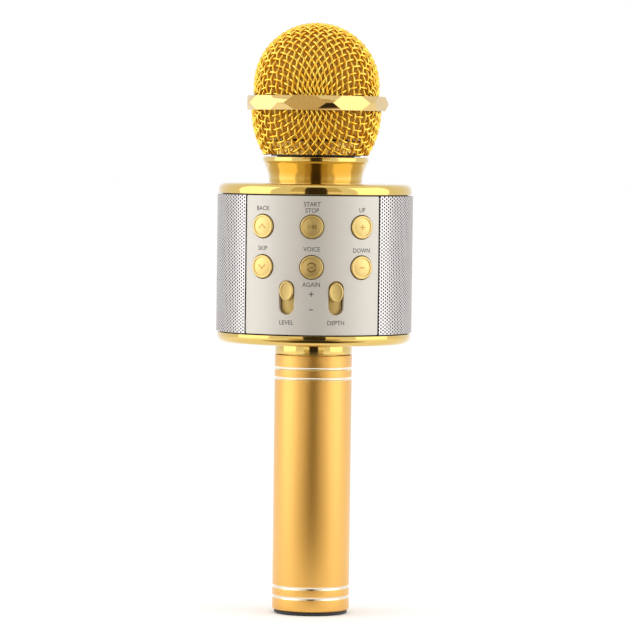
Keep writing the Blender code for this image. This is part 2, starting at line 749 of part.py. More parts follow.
def make_capsule():
    mount = [(9.6, 190.0), (13.2, 190.0), (13.2, 196.7), (16.5, 196.7), (16.5, 198.8), (9.6, 198.8)]
    turned("capsule_mount", [(radius * MM, height * MM) for radius, height in mount], "rubber", SMALL_ROUND)
    capsule = [(0.0, 193.0), (9.3, 193.0), (9.3, 210.0), (7.5, 212.5), (4.0, 213.8), (0.0, 214.2)]
    turned("mic_capsule", [(radius * MM, height * MM) for radius, height in capsule], "steel", SMALL_ROUND)


def lower_head_radius(height):
    """The outer radius of the lower mesh, an arc that is upright at the widest height."""
    centre = HEAD_BULGE - HEAD_FLARE
    return centre + math.sqrt(HEAD_FLARE**2 - (height - BULGE_HEIGHT) ** 2)


def make_head():
    low = HEAD_LOW
    steps = 4
    heights = [low + (BULGE_HEIGHT - low) * i / steps for i in range(steps + 1)]
    tuck_high = 211.3 * MM
    outer = [(lower_head_radius(height), height) for height in heights]
    outer += [(TUCK_RADIUS, 209.0 * MM), (TUCK_RADIUS, tuck_high)]
    inner = [(radius - MESH_THICKNESS, height) for radius, height in reversed(outer)]
    turned("head_mesh_lower", outer + inner, "mesh_gold")

    dome = arc_points((0.0, DOME_HEIGHT), DOME_RADIUS, 0, 90, 7)
    lining = arc_points((0.0, DOME_HEIGHT), DOME_RADIUS - MESH_THICKNESS, 90, 0, 5)
    tuck_low = 211.7 * MM
    bell = [(TUCK_RADIUS, tuck_low), (TUCK_RADIUS, 214.7 * MM), *dome[:-1], (0.0, dome[-1][1])]
    bell += [(0.0, lining[0][1]), *lining[1:], (TUCK_RADIUS - MESH_THICKNESS, tuck_low)]
    turned("head_mesh_upper", bell, "mesh_gold")

    ring = [(19.3, 190.2), (20.4, 190.2), (20.7, 191.2), (20.7, 196.0), (19.3, 196.0)]
    turned("head_thread_ring", [(radius * MM, height * MM) for radius, height in ring], "steel")

    outer = arc_points((0.0, DOME_HEIGHT), FOAM_OUTER, -52, 90, 6)
    inner = arc_points((0.0, DOME_HEIGHT), FOAM_INNER, 90, -60, 5)
    liner = [*outer[:-1], (0.0, outer[-1][1]), (0.0, inner[0][1]), *inner[1:]]
    turned("foam_liner", liner, "foam", 20)


def make_head_band():
    """A ring with nine long six-sided flats, each meeting the next along a short ridge at mid height."""
    middle = (BAND_LOW + BAND_HIGH) / 2
    edge_radius = BAND_APOTHEM / math.cos(FACET_EDGE)
    waist_radius = BAND_APOTHEM / math.cos(FACET_WAIST)
    rings = (
        (BAND_BORE, FACET_EDGE, BAND_LOW),
        (edge_radius, FACET_EDGE, BAND_LOW),
        (waist_radius, FACET_WAIST, middle),
        (edge_radius, FACET_EDGE, BAND_HIGH),
        (BAND_BORE, FACET_EDGE, BAND_HIGH),
    )
    bm = bmesh.new()
    rows = []
    for radius, half, height in rings:
        row = []
        for facet in range(BAND_FACETS):
            centre = BAND_TURN + math.tau * facet / BAND_FACETS
            for angle in (centre - half, centre + half):
                row.append(bm.verts.new((radius * math.sin(angle), -radius * math.cos(angle), height)))
        rows.append(row)
    count = len(rows[0])
    for row, following in zip(rows, rows[1:] + rows[:1]):
        for i in range(count):
            j = (i + 1) % count
            bm.faces.new((row[i], row[j], following[j], following[i]))
    finished("head_band", bm, "polished_gold")


def smooth_points(route, spacing):
    """Points every spacing or so along a smooth curve through the route's own points."""
    ends = [route[0] * 2 - route[1], *route, route[-1] * 2 - route[-2]]
    points = []
    for before, start, end, after in zip(ends, ends[1:], ends[2:], ends[3:]):
        steps = max(1, round((end - start).length / spacing))
        for i in range(steps):
            t = i / steps
            bend = (end - before) * t + (before * 2 - start * 5 + end * 4 - after) * t**2
            points.append(start + (bend + (start * 3 - before - end * 3 + after) * t**3) / 2)
    points.append(route[-1])
    return points


def make_lead(name, route, finish):
    curve = bpy.data.curves.new(name, "CURVE")
    curve.dimensions = "3D"
    curve.bevel_depth = LEAD_RADIUS
    curve.bevel_resolution = 2
    curve.use_fill_caps = True
    points = smooth_points([Vector(point) * MM for point in route], 6.0 * MM)
    spline = curve.splines.new("POLY")
    spline.points.add(len(points) - 1)
    for target, point in zip(spline.points, points):
        target.co = (*point, 1.0)
    curve.materials.append(look(finish))
    made = bpy.data.objects.new(name, curve)
    bpy.context.scene.collection.objects.link(made)


def make_leads():
    """The battery's and the capsule's wires, led through the chassis to the back of the control board."""
    end = (BOARD_INNER - 0.4 * MM) / MM
    low = BATTERY_LEAD_HEIGHT / MM
    high = CAPSULE_LEAD_HEIGHT / MM
    battery = [(0, 0, 87.2), (0, 0, 100), (0, -1.5, 112), (0, -7, 122), (0, -15, 129)]
    capsule = [(0, 0, 192.6), (0, 0, 180), (0, -2, 170), (0, -8, 160), (0, -15, 154.5)]
    make_lead("battery_lead", [*battery, (0, -22, low), (0, -end, low)], "rubber")
    make_lead("capsule_lead", [*capsule, (0, -22, high), (0, -end, high)], "rubber")


clear_scene()
make_handle()
make_battery()
make_barrel_caps()
make_front_panel()
make_rear_panel()
make_grilles()
make_buttons()
make_sliders()
make_power_switch()
make_ports()
make_boards()
make_screws()
make_chassis()
make_speakers()
make_neck()
make_capsule()
make_head()
make_head_band()
make_leads()
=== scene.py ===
# %% [markdown]
# # A gold karaoke microphone
# The microphone is a slim satin handle, a round speaker barrel with a control panel, and a woven head
# with a faceted band. Its solid parts, their places and the way they move are already settled in a fixed
# frame. This lesson dresses that frame: it makes a fine version of each piece that can be seen, and gives
# every piece a finish. The frame is loaded first, so that the sizes on which pieces must agree can be
# read from it.

import json
import math

import bmesh
import bpy
from mathutils import Matrix, Vector


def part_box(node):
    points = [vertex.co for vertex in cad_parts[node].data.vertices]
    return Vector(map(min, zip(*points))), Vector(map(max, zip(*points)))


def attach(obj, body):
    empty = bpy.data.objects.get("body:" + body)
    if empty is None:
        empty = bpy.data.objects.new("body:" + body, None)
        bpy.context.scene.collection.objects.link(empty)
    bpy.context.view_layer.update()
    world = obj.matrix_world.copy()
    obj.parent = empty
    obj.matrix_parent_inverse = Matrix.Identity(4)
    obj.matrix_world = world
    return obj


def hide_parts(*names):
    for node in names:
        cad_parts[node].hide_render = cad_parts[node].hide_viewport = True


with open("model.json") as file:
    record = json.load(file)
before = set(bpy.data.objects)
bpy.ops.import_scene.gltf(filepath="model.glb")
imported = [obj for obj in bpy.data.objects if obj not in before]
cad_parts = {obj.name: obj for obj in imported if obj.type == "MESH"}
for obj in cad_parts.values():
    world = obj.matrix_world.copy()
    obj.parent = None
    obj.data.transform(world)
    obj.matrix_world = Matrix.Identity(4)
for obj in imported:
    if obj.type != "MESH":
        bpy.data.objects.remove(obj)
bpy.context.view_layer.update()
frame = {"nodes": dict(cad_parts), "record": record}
record = frame["record"]
slot_of = {part["node"]: part["material_slot"] for part in record["subparts"]}
body_of = {node: body for body, nodes in record["behaviour"]["bodies"].items() for node in nodes}
MM = 0.001

# %% [markdown]
# ## Shader arithmetic
# A finish is a web of nodes. Written node by node it is long and hard to read, so one small class stands
# for a socket: adding or multiplying two of them adds the Math node, and `node` adds any other node. A
# finish then reads like the sum that it is.

# %% A socket that can be calculated with
class Wire:
    """An output of a material's nodes."""

    def __init__(self, tree, socket):
        self.tree = tree
        self.socket = socket

    def node(self, kind, settings, inputs, output=0):
        """Adds a node, sets it up, joins its inputs to values or wires, and returns one of its outputs."""
        made = self.tree.nodes.new(kind)
        for name, value in settings.items():
            if name == "stops":
                for place, colour in value[1:-1]:
                    made.color_ramp.elements.new(place).color = colour
                for element, (place, colour) in zip(made.color_ramp.elements, value):
                    element.position = place
                    element.color = colour
            else:
                setattr(made, name, value)
        for name, value in inputs.items():
            if isinstance(value, Wire):
                self.tree.links.new(value.socket, made.inputs[name])
            else:
                made.inputs[name].default_value = value
        return Wire(self.tree, made.outputs[output])

    def math(self, operation, *values):
        return self.node("ShaderNodeMath", {"operation": operation}, dict(enumerate(values)))

    def __add__(self, other):
        return self.math("ADD", self, other)

    def __sub__(self, other):
        return self.math("SUBTRACT", self, other)

    def __rsub__(self, other):
        return self.math("SUBTRACT", other, self)

    def __mul__(self, other):
        return self.math("MULTIPLY", self, other)

    def __abs__(self):
        return self.math("ABSOLUTE", self)

    def __lt__(self, other):
        return self.math("LESS_THAN", self, other)

    def __gt__(self, other):
        return self.math("GREATER_THAN", self, other)

    __radd__ = __add__


# %% [markdown]
# Three mixtures come back in nearly every finish: an uneven cloud that breaks up a plain colour, a blend
# of two colours, and a fine relief that catches the light. The cloud is read from the object's own
# coordinates, which are metres here, so a scale of 4000 gives grains about a quarter of a millimetre
# across.

# %% The mixtures that finishes share
def cloud(place, scale, detail=3.0, stretch=(1.0, 1.0, 1.0)):
    """An uneven pattern from 0 to 1."""
    place = place.node("ShaderNodeMapping", {}, {"Vector": place, "Scale": stretch})
    return place.node("ShaderNodeTexNoise", {}, {"Vector": place, "Scale": scale, "Detail": detail})


def blend(amount, first, second):
    """A colour between two others."""
    return amount.node("ShaderNodeMix", {"data_type": "RGBA"}, {0: amount, 6: first, 7: second}, 2)


def contrast(amount, low, high):
    """Stretches the range from low to high over the whole of 0 to 1."""
    inputs = {"Value": amount, "From Min": low, "From Max": high}
    return amount.node("ShaderNodeMapRange", {"clamp": True}, inputs)


def within(place, span):
    """1 where the height lies in a span, and 0 elsewhere."""
    height = place.node("ShaderNodeSeparateXYZ", {}, {"Vector": place}, "Z")
    return (height > span[0]) * (height < span[1])


def relief(height, depth, strength=1.0):
    return height.node("ShaderNodeBump", {}, {"Height": height, "Distance": depth, "Strength": strength})


def shade(red, green, blue):
    return (red, green, blue, 1.0)


finishes = {}


def finish(name, settings, recipe):
    """Makes a material: fixed settings of its shader, and what a recipe says for the sockets that vary."""
    made = bpy.data.materials.new(f"finish_{name}")
    made.use_nodes = True
    tree = made.node_tree
    shader = tree.nodes["Principled BSDF"]
    for socket, value in settings.items():
        shader.inputs[socket].default_value = value
    place = Wire(tree, tree.nodes.new("ShaderNodeTexCoord").outputs["Object"])
    for socket, wire in recipe(place).items():
        tree.links.new(wire.socket, shader.inputs[socket])
    finishes[name] = made
    print("finish", name, "with", len(tree.nodes), "nodes")


# %% [markdown]
# ## Golds
# The handle is blasted and anodised aluminium, so its gold is satin with a fine grain. Four grooves are
# turned through the colour afterwards and show bright metal. A second material could carry the grooves,
# but their height on the tube already says where they are, so a mask on the height does it in one.

# %% Satin gold with bright grooves
GROOVES = (7.1 * MM, 11.25 * MM, 97.8 * MM, 101.95 * MM)
GROOVE_WIDTH = 1.25 * MM
BRIGHT_HALF = GROOVE_WIDTH * 0.52  # the bright metal ends a hair outside the cut


def satin_gold(place):
    height = place.node("ShaderNodeSeparateXYZ", {}, {"Vector": place}, "Z")
    groove = 0.0
    for middle in GROOVES:
        groove = (abs(height - middle) < BRIGHT_HALF) + groove
    grain = cloud(place, 5200, 4)
    drift = cloud(place, 90, 2)
    gold = blend(grain, shade(0.72, 0.37, 0.055), shade(0.92, 0.53, 0.115))
    gold = blend(drift * 0.3, gold, shade(0.88, 0.50, 0.10))
    return {
        "Base Color": blend(groove, gold, shade(0.86, 0.78, 0.62)),
        "Roughness": 0.34 + grain * 0.10 - groove * 0.22,
        "Normal": relief(grain * (1.0 - groove), 0.012 * MM, 0.7),
    }


GLOW = {"Metallic": 1.0, "Coat Weight": 0.6, "Coat IOR": 1.7}
finish("satin_gold", {**GLOW, "Coat Roughness": 0.32}, satin_gold)


# %% [markdown]
# The caps, the collar and the neck are moulded and plated to a mirror. A perfect mirror looks unreal, so
# the plating has a very faint swell, and its gloss varies a little where hands have been. The neck is
# brushed a little softer than the caps, which its height on the object tells the shader.

# %% Plated golds
NECK_SPAN = (177.6 * MM, 190.0 * MM)


def plated(base, light, gloss, swell):
    """A recipe for polished plating."""

    def recipe(place):
        wipe = cloud(place, 160, 5, (1.0, 1.0, 0.4))
        neck = within(place, NECK_SPAN)
        dust = contrast(cloud(place, 3400, 2), 0.62, 0.80)
        return {
            "Base Color": blend(cloud(place, 45, 2), base, light),
            "Roughness": gloss + wipe * 0.05 + dust * 0.04 + neck * 0.04,
            "Normal": relief(cloud(place, 220, 2), swell, 0.5),
        }

    return recipe


POLISHED = {
    "polished_gold": (shade(0.66, 0.445, 0.095), shade(0.75, 0.53, 0.14), 0.06, 0.01 * MM),
    "band_gold": (shade(0.68, 0.45, 0.12), shade(0.76, 0.54, 0.19), 0.03, 0.003 * MM),
    "button_gold": (shade(0.74, 0.53, 0.15), shade(0.86, 0.65, 0.25), 0.44, 0.004 * MM),
    "icon_gold": (shade(0.40, 0.22, 0.05), shade(0.50, 0.30, 0.08), 0.34, 0.004 * MM),
}
for name, numbers in POLISHED.items():
    finish(name, {**GLOW, "Coat Roughness": numbers[2]}, plated(*numbers))


# %% [markdown]
# The woven wire is plated too, but thinly: the plating is deeper where the wires touch, and drawn wire
# keeps fine lines along its length.

# %% Wire gold
def mesh_gold(place):
    streak = cloud(place, 2600, 3)
    depth = contrast(cloud(place, 420, 2), 0.35, 0.70)
    return {
        "Base Color": blend(depth, shade(0.97, 0.56, 0.045), shade(1.0, 0.78, 0.15)),
        "Roughness": 0.16 + streak * 0.14,
        "Normal": relief(streak, 0.01 * MM, 0.5),
    }


finish("mesh_gold", {"Metallic": 1.0}, mesh_gold)


# %% [markdown]
# ## Silvers, plastics and the rest
# The panel is plastic in silver paint: thousands of tiny flakes under a soft lacquer. The grilles are
# bare perforated steel. Each plastic, board and rubber gets its own grain, because the eye tells
# materials apart by how the light breaks up in them more than by their colour.

# %% Panel and grille
def panel_silver(place):
    flake = cloud(place, 6500, 2)
    drift = cloud(place, 60, 3)
    paint = blend(flake, shade(0.48, 0.45, 0.40), shade(0.66, 0.62, 0.55))
    return {
        "Base Color": blend(drift * 0.35, paint, shade(0.60, 0.56, 0.50)),
        "Roughness": 0.36 + flake * 0.16,
        "Normal": relief(flake, 0.006 * MM, 0.5),
    }


def grille_silver(place):
    rolled = cloud(place, 900, 4, (1.0, 1.0, 0.15))
    return {
        "Base Color": blend(rolled, shade(0.56, 0.53, 0.52), shade(0.76, 0.73, 0.71)),
        "Roughness": 0.26 + rolled * 0.14,
        "Normal": relief(rolled, 0.006 * MM, 0.5),
    }


finish("panel_silver", {"Metallic": 0.45, "Coat Roughness": 0.25, "Coat Weight": 0.15}, panel_silver)
finish("grille_silver", {"Metallic": 1.0}, grille_silver)


# %% Plastics, rubber, ink and foam
def grained(dark, light, rough, scale, depth):
    """A recipe for a moulded surface with an even grain."""

    def recipe(place):
        grain = cloud(place, scale, 4)
        wear = contrast(cloud(place, 130, 4), 0.40, 0.75)
        return {
            "Base Color": blend(grain * 0.6 + wear * 0.4, dark, light),
            "Roughness": rough + grain * 0.12 - wear * 0.06,
            "Normal": relief(grain, depth, 0.8),
        }

    return recipe


GRAINED = {
    "black_plastic": (shade(0.012, 0.012, 0.013), shade(0.030, 0.030, 0.032), 0.40, 2600, 0.02 * MM),
    "chassis_plastic": (shade(0.030, 0.030, 0.032), shade(0.060, 0.060, 0.064), 0.55, 1500, 0.03 * MM),
    "rubber": (shade(0.015, 0.015, 0.015), shade(0.040, 0.038, 0.036), 0.70, 1800, 0.03 * MM),
    "ink": (shade(0.045, 0.042, 0.04), shade(0.11, 0.105, 0.10), 0.50, 5200, 0.004 * MM),
    "battery_wrap": (shade(0.03, 0.14, 0.42), shade(0.05, 0.20, 0.52), 0.28, 700, 0.02 * MM),
}
for name, numbers in GRAINED.items():
    finish(name, {"Metallic": 0.0}, grained(*numbers))


# %% Metals that are not gold
METALS = {
    "screw_steel": (shade(0.36, 0.36, 0.37), shade(0.52, 0.52, 0.53), 0.30, 1600, 0.01 * MM),
    "speaker_frame": (shade(0.05, 0.05, 0.055), shade(0.12, 0.12, 0.13), 0.42, 1400, 0.02 * MM),
    "magnet": (shade(0.08, 0.08, 0.09), shade(0.16, 0.16, 0.17), 0.38, 800, 0.02 * MM),
}
for name, numbers in METALS.items():
    finish(name, {"Metallic": 0.9}, grained(*numbers))


THREAD_SPAN = (189.8 * MM, 196.4 * MM)


def steel(place):
    """Bright steel, but brass on the thread, which its height gives away."""
    brass = within(place, THREAD_SPAN)
    streak = cloud(place, 1100, 4)
    plain = blend(streak, shade(0.42, 0.42, 0.43), shade(0.60, 0.60, 0.61))
    return {
        "Base Color": blend(brass, plain, blend(streak, shade(0.55, 0.34, 0.07), shade(0.70, 0.46, 0.12))),
        "Roughness": 0.24 + streak * 0.12,
        "Normal": relief(streak, 0.01 * MM, 0.8),
    }


finish("steel", {"Metallic": 0.9}, steel)


# %% [markdown]
# Foam is a mass of open cells, so its relief comes from a cell pattern instead of a cloud. The speaker
# cone is pressed paper pulp, the board is green lacquer over copper tracks, and the small light is a
# clear plug.

# %% Foam, pulp, board and light
def foam(place):
    cells = place.node("ShaderNodeTexVoronoi", {"feature": "F1"}, {"Vector": place, "Scale": 1500.0})
    fuzz = cloud(place, 5200, 3)
    return {
        "Base Color": blend(cells, shade(0.78, 0.41, 0.045), shade(0.42, 0.21, 0.025)),
        "Normal": relief(fuzz * 0.4 + cells, 0.30 * MM),
    }


def speaker_cone(place):
    fibre = cloud(place, 2400, 5, (1.0, 0.3, 1.0))
    return {
        "Base Color": blend(fibre, shade(0.018, 0.018, 0.020), shade(0.050, 0.050, 0.054)),
        "Roughness": 0.62 + fibre * 0.25,
        "Normal": relief(fibre, 0.04 * MM),
    }


def circuit_board(place):
    tracks = place.node("ShaderNodeTexBrick", {"offset": 0.37}, {"Vector": place, "Scale": 260.0}, "Fac")
    speck = cloud(place, 1500, 3)
    lacquer = blend(speck, shade(0.012, 0.10, 0.045), shade(0.022, 0.15, 0.065))
    return {
        "Base Color": blend(tracks, lacquer, shade(0.05, 0.26, 0.11)),
        "Roughness": 0.30 + speck * 0.10,
        "Normal": relief(tracks, 0.03 * MM),
    }


def light_lens(place):
    haze = cloud(place, 2100, 3)
    return {
        "Base Color": blend(haze, shade(0.62, 0.76, 0.92), shade(0.82, 0.90, 0.98)),
        "Roughness": 0.08 + haze * 0.10,
        "Normal": relief(haze, 0.01 * MM, 0.5),
    }


finish("foam", {"Roughness": 0.95}, foam)
finish("speaker_cone", {"Metallic": 0.0}, speaker_cone)
finish("circuit_board", {"Metallic": 0.0}, circuit_board)
finish("light_lens", {"Metallic": 0.0, "Transmission Weight": 0.3}, light_lens)

# %% [markdown]
# ## Putting a piece in the frame
# Every fine piece stands for one solid of the frame: it rides on the same body, hides the plain solid and
# takes the finish of the same slot. One function does all of that, so that no piece can be left behind. A
# second one adds what the frame has no solid for. A few short helpers come first, for steps that many
# pieces share.

# %% Helpers for the bmesh operators
def everything(bm):
    return bm.verts[:] + bm.edges[:] + bm.faces[:]


def points_of(parts):
    return [part for part in parts if isinstance(part, bmesh.types.BMVert)]


def copied(bm, step):
    """Adds a copy of everything, moved by a step."""
    copies = bmesh.ops.duplicate(bm, geom=everything(bm))["geom"]
    bmesh.ops.translate(bm, verts=points_of(copies), vec=step)


def thickened(bm, rise):
    """Gives flat faces a thickness, and returns the points that were moved."""
    lifted = points_of(bmesh.ops.extrude_face_region(bm, geom=bm.faces[:])["geom"])
    bmesh.ops.translate(bm, verts=lifted, vec=(0, 0, rise))
    return lifted


def rounded(bm, geom, size, steps, affect="VERTICES", clamp=False):
    """Rounds off points or edges by a size."""
    bmesh.ops.bevel(
        bm,
        geom=geom,
        offset=size,
        offset_type="OFFSET",
        segments=steps,
        profile=0.5,
        affect=affect,
        material=-1,
        clamp_overlap=clamp,
    )


def mesh_of(curve):
    """The mesh that a curve or a text makes."""
    source = bpy.data.objects.new(curve.name, curve)
    bpy.context.scene.collection.objects.link(source)
    mesh = bpy.data.meshes.new_from_object(source.evaluated_get(bpy.context.evaluated_depsgraph_get()))
    bpy.data.objects.remove(source)
    return mesh


# %% Fit a piece to the frame
def meshed(name, bm, material, sharp=35.0):
    """An object of the bmesh, closed, with its faces turned outwards and its round sides smooth."""
    bmesh.ops.remove_doubles(bm, verts=bm.verts, dist=0.0005 * MM)
    bmesh.ops.recalc_face_normals(bm, faces=bm.faces)
    mesh = bpy.data.meshes.new(name)
    bm.to_mesh(mesh)
    bm.free()
    mesh.shade_smooth()
    mesh.set_sharp_from_angle(angle=math.radians(sharp))
    mesh.materials.append(material)
    made = bpy.data.objects.new(name, mesh)
    bpy.context.scene.collection.objects.link(made)
    print(name, "has", len(mesh.polygons), "faces")
    return made


def fitted(node, bm, sharp=35.0):
    """A fine piece that stands for one node of the frame."""
    made = meshed(f"fine_{node}", bm, finishes[slot_of[node]], sharp)
    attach(made, body_of[node])
    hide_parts(node)
    return made


def added(name, bm, body, material):
    """A piece that the frame has no solid for, such as printing."""
    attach(meshed(name, bm, material), body)


# %% [markdown]
# ## Turned pieces
# Most of this object is round about one axis, as if made on a lathe. A lathe piece is one half of its
# outline, spun round the axis. Real edges are never quite sharp, and a small round on each corner is what
# catches the light, so every point of an outline carries the size of its own round, cut by a vertex bevel
# before the spin.

# %% Spin an outline
def profile(bm, outline):
    """Wire edges through (radius, height, round) points, each corner rounded off by its own amount."""
    points = [bm.verts.new((radius, 0.0, height)) for radius, height, _ in outline]
    for start, end in zip(points, points[1:] + points[:1]):
        if start.co.x > 0.0 or end.co.x > 0.0:
            bm.edges.new((start, end))
    for size in sorted({soft for _, _, soft in outline if soft > 0.0}):
        corners = [point for point, (_, _, soft) in zip(points, outline) if soft == size]
        rounded(bm, corners, size, 4)


def turned(outline, sides=128):
    bm = bmesh.new()
    profile(bm, outline)
    bmesh.ops.spin(
        bm,
        geom=bm.verts[:] + bm.edges[:],
        cent=(0.0, 0.0, 0.0),
        axis=(0.0, 0.0, 1.0),
        angle=math.tau,
        steps=sides,
        use_merge=True,
    )
    bmesh.ops.remove_doubles(bm, verts=bm.verts, dist=0.001 * MM)
    return bm


# %% [markdown]
# ## Handle
# The handle is a tube that stands on a black plug. Its four grooves are shallow V cuts, and the collar
# above it is a plated ring. Their ends are read from the frame, so that each fine piece stays where its
# plain one was.

# %% Handle tube, plug and collar
CLEARANCE = 0.3 * MM  # gap between pieces that fit into each other
tube_low, tube_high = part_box("handle_tube")
tube_radius = tube_high.x
tube_bore = tube_radius - 1.6 * MM
tube_outline = [(tube_bore, tube_low.z, 0.1 * MM), (tube_radius, tube_low.z, 0.7 * MM)]
for height in GROOVES:
    tube_outline.append((tube_radius, height - GROOVE_WIDTH / 2, 0.08 * MM))
    tube_outline.append((tube_radius - 0.40 * MM, height, 0.25 * MM))
    tube_outline.append((tube_radius, height + GROOVE_WIDTH / 2, 0.08 * MM))
tube_outline += [(tube_radius, tube_high.z, 0.25 * MM), (tube_bore, tube_high.z, 0.1 * MM)]
fitted("handle_tube", turned(tube_outline, 160))

plug_low, plug_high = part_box("tail_plug")
plug_shank = tube_bore - CLEARANCE
dish = 0.6 * MM
plug_outline = [
    (0.0, plug_low.z + dish, 0.0),
    (plug_high.x * 0.62, plug_low.z + dish, 0.3 * MM),
    (plug_high.x * 0.70, plug_low.z, 0.3 * MM),
    (plug_high.x, plug_low.z, 0.5 * MM),
    (plug_high.x, tube_low.z - CLEARANCE, 0.1 * MM),
    (plug_shank, tube_low.z - CLEARANCE, 0.0),
    (plug_shank, plug_high.z, 0.3 * MM),
    (0.0, plug_high.z, 0.0),
]
fitted("tail_plug", turned(plug_outline))

collar_low, collar_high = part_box("handle_collar")
collar_bore = 10.5 * MM
collar_spigot = 12.6 * MM
shoulder = tube_high.z + CLEARANCE
collar_top = 112.2 * MM
collar_outline = [
    (collar_bore, collar_low.z, 0.1 * MM),
    (plug_shank, collar_low.z, 0.2 * MM),
    (plug_shank, shoulder, 0.0),
    (collar_high.x, shoulder, 0.35 * MM),
    (collar_high.x, collar_top, 0.35 * MM),
    (collar_spigot, collar_top, 0.0),
    (collar_spigot, collar_high.z, 0.1 * MM),
    (collar_bore, collar_high.z, 0.1 * MM),
]
fitted("handle_collar", turned(collar_outline))

# %% [markdown]
# ## Barrel caps and neck
# The barrel is closed by two plated caps with a generous round, and a flared neck carries the head. The
# flare is a gentle S, so its outline is a few points with long rounds between them, not a sharp cone.

# %% Caps and neck
CAP_FLOOR = 2.0 * MM
CAP_RIM = 1.5 * MM
CAP_ROUND = 2.6 * MM
NECK_FOOT = 18.6 * MM
NECK_STEP = 178.7 * MM


def cap(node, bore, outer, inner, rim):
    """A dished cap, from its outer face to its rim."""
    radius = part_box(node)[1].x
    wall = radius - CAP_RIM
    return turned(
        [
            (bore, outer, 0.15 * MM),
            (radius, outer, CAP_ROUND),
            (radius, rim, 0.18 * MM),
            (wall, rim, 0.1 * MM),
            (wall, inner, 0.3 * MM),
            (bore, inner, 0.1 * MM),
        ],
        192,
    )


cap_low, cap_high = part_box("body_bottom_cap")
bottom = cap("body_bottom_cap", collar_spigot + CLEARANCE, cap_low.z, cap_low.z + CAP_FLOOR, cap_high.z)
fitted("body_bottom_cap", bottom)
cap_low, cap_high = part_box("body_top_cap")
top = cap("body_top_cap", NECK_FOOT + CLEARANCE, cap_high.z, cap_high.z - CAP_FLOOR, cap_low.z)
fitted("body_top_cap", top)

neck_low, neck_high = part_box("neck_collar")
neck_bore = 16.3 * MM
neck_rim = neck_high.x
neck_outline = [
    (neck_bore, neck_low.z, 0.1 * MM),
    (NECK_FOOT, neck_low.z, 0.1 * MM),
    (NECK_FOOT, NECK_STEP, 0.0),
    (19.25 * MM, NECK_STEP, 0.12 * MM),
    (19.55 * MM, 182.0 * MM, 1.5 * MM),
    (21.4 * MM, 186.9 * MM, 0.6 * MM),
    (neck_rim, 187.5 * MM, 0.25 * MM),
    (neck_rim, neck_high.z, 0.35 * MM),
    (neck_bore, neck_high.z, 0.2 * MM),
]
fitted("neck_collar", turned(neck_outline, 160))

# %% [markdown]
# ## Front panel
# The panel is a curved plate with round edges at every opening. Cutting a curved plate is fiddly, so the
# plate is made flat, as sheet metal would be. Rings of edges at several depths are bridged into the wall
# and the round edge of the outline and of each opening. The front and the back are then filled in between
# them, cut into narrow strips that can bend, and rolled onto the barrel's radius.

# %% Rings of edges
ROUND_SIDES = 64


def ring(bm, shape, grow, depth):
    """A closed ring of edges. A shape is x, y, width, height and corner radius, and grow makes it larger."""
    x, y, width, height, corner = shape
    known = set(bm.edges)
    if 2 * corner >= width:
        place = Matrix.Translation((x, y, depth)) @ Matrix.Rotation(math.pi / ROUND_SIDES, 4, "Z")
        made = bmesh.ops.create_circle(
            bm, cap_ends=False, radius=corner + grow, segments=ROUND_SIDES, matrix=place
        )["verts"]
        for point in made:
            point.co.y += math.copysign(height / 2 - corner, point.co.y - y)
    else:
        place = Matrix.Translation((x, y, depth))
        place = place @ Matrix.Diagonal((width + 2 * grow, height + 2 * grow, 1.0, 1.0))
        made = bmesh.ops.create_grid(bm, x_segments=1, y_segments=1, size=0.5, matrix=place)["verts"]
        faces = {face for point in made for face in point.link_faces}
        bmesh.ops.delete(bm, geom=list(faces), context="FACES_ONLY")
        rounded(bm, made, corner + grow, 6)
    return [edge for edge in bm.edges if edge not in known]


# %% From flat rings to a rolled plate
def rolled(bm, radius, middle=0.0):
    """Wraps X round the barrel at this radius, about the angle middle. Y becomes height and Z stands out."""
    for point in bm.verts:
        angle = middle + point.co.x / radius
        out = radius + point.co.z
        point.co = (out * math.sin(angle), -out * math.cos(angle), point.co.y)


def plate(outline, openings, thickness, edge, strip):
    """A flat plate with a round front edge at its outline and at every opening, cut into strips.

    No two neighbouring rings lie at the same depth, because a bridge between level rings can be twisted.
    """
    bm = bmesh.new()
    levels = [(0.0, -thickness)]
    for step in range(4):
        angle = math.radians(30 * step)
        levels.append((edge * (1.0 - math.cos(angle)), -edge * (1.0 - math.sin(angle)) - 0.003 * MM))
    levels.append((1.3 * edge, 0.0))
    front = []
    back = []
    for shape, way in [(outline, -1)] + [(opening, 1) for opening in openings]:
        rings = [ring(bm, shape, way * grow, depth) for grow, depth in levels]
        for lower, upper in zip(rings, rings[1:]):
            bmesh.ops.bridge_loops(bm, edges=lower + upper)
        back += rings[0]
        front += rings[-1]
    for edges in (front, back):
        bmesh.ops.triangle_fill(bm, use_beauty=True, use_dissolve=False, edges=edges, normal=(0, 0, 1))
    reach = outline[2] / 2
    cuts = int(2 * reach / strip)
    for i in range(1, cuts):
        place = -reach + 2 * reach * i / cuts
        bmesh.ops.bisect_plane(
            bm, geom=everything(bm), dist=0.01 * MM, plane_co=(place, 0, 0), plane_no=(1, 0, 0)
        )
    bmesh.ops.recalc_face_normals(bm, faces=bm.faces)
    return bm


panel_low, panel_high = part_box("front_panel")
PANEL_RADIUS = 40.2 * MM
PANEL_HALF = PANEL_RADIUS * math.asin(panel_high.x / PANEL_RADIUS)
PANEL_THICKNESS = 2.0 * MM
PANEL_EDGE = 0.16 * MM
STRIP = 0.7 * MM
wall_middle = (panel_low.z + panel_high.z) / 2
wall_height = panel_high.z - panel_low.z
print("the wall is", round(wall_height / MM, 1), "mm high")


def middle_of(node):
    """Where a control is centred on the wall: its angle from the front, and its height."""
    low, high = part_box(node)
    centre = (low + high) / 2
    return math.atan2(centre.x, -centre.y), centre.z


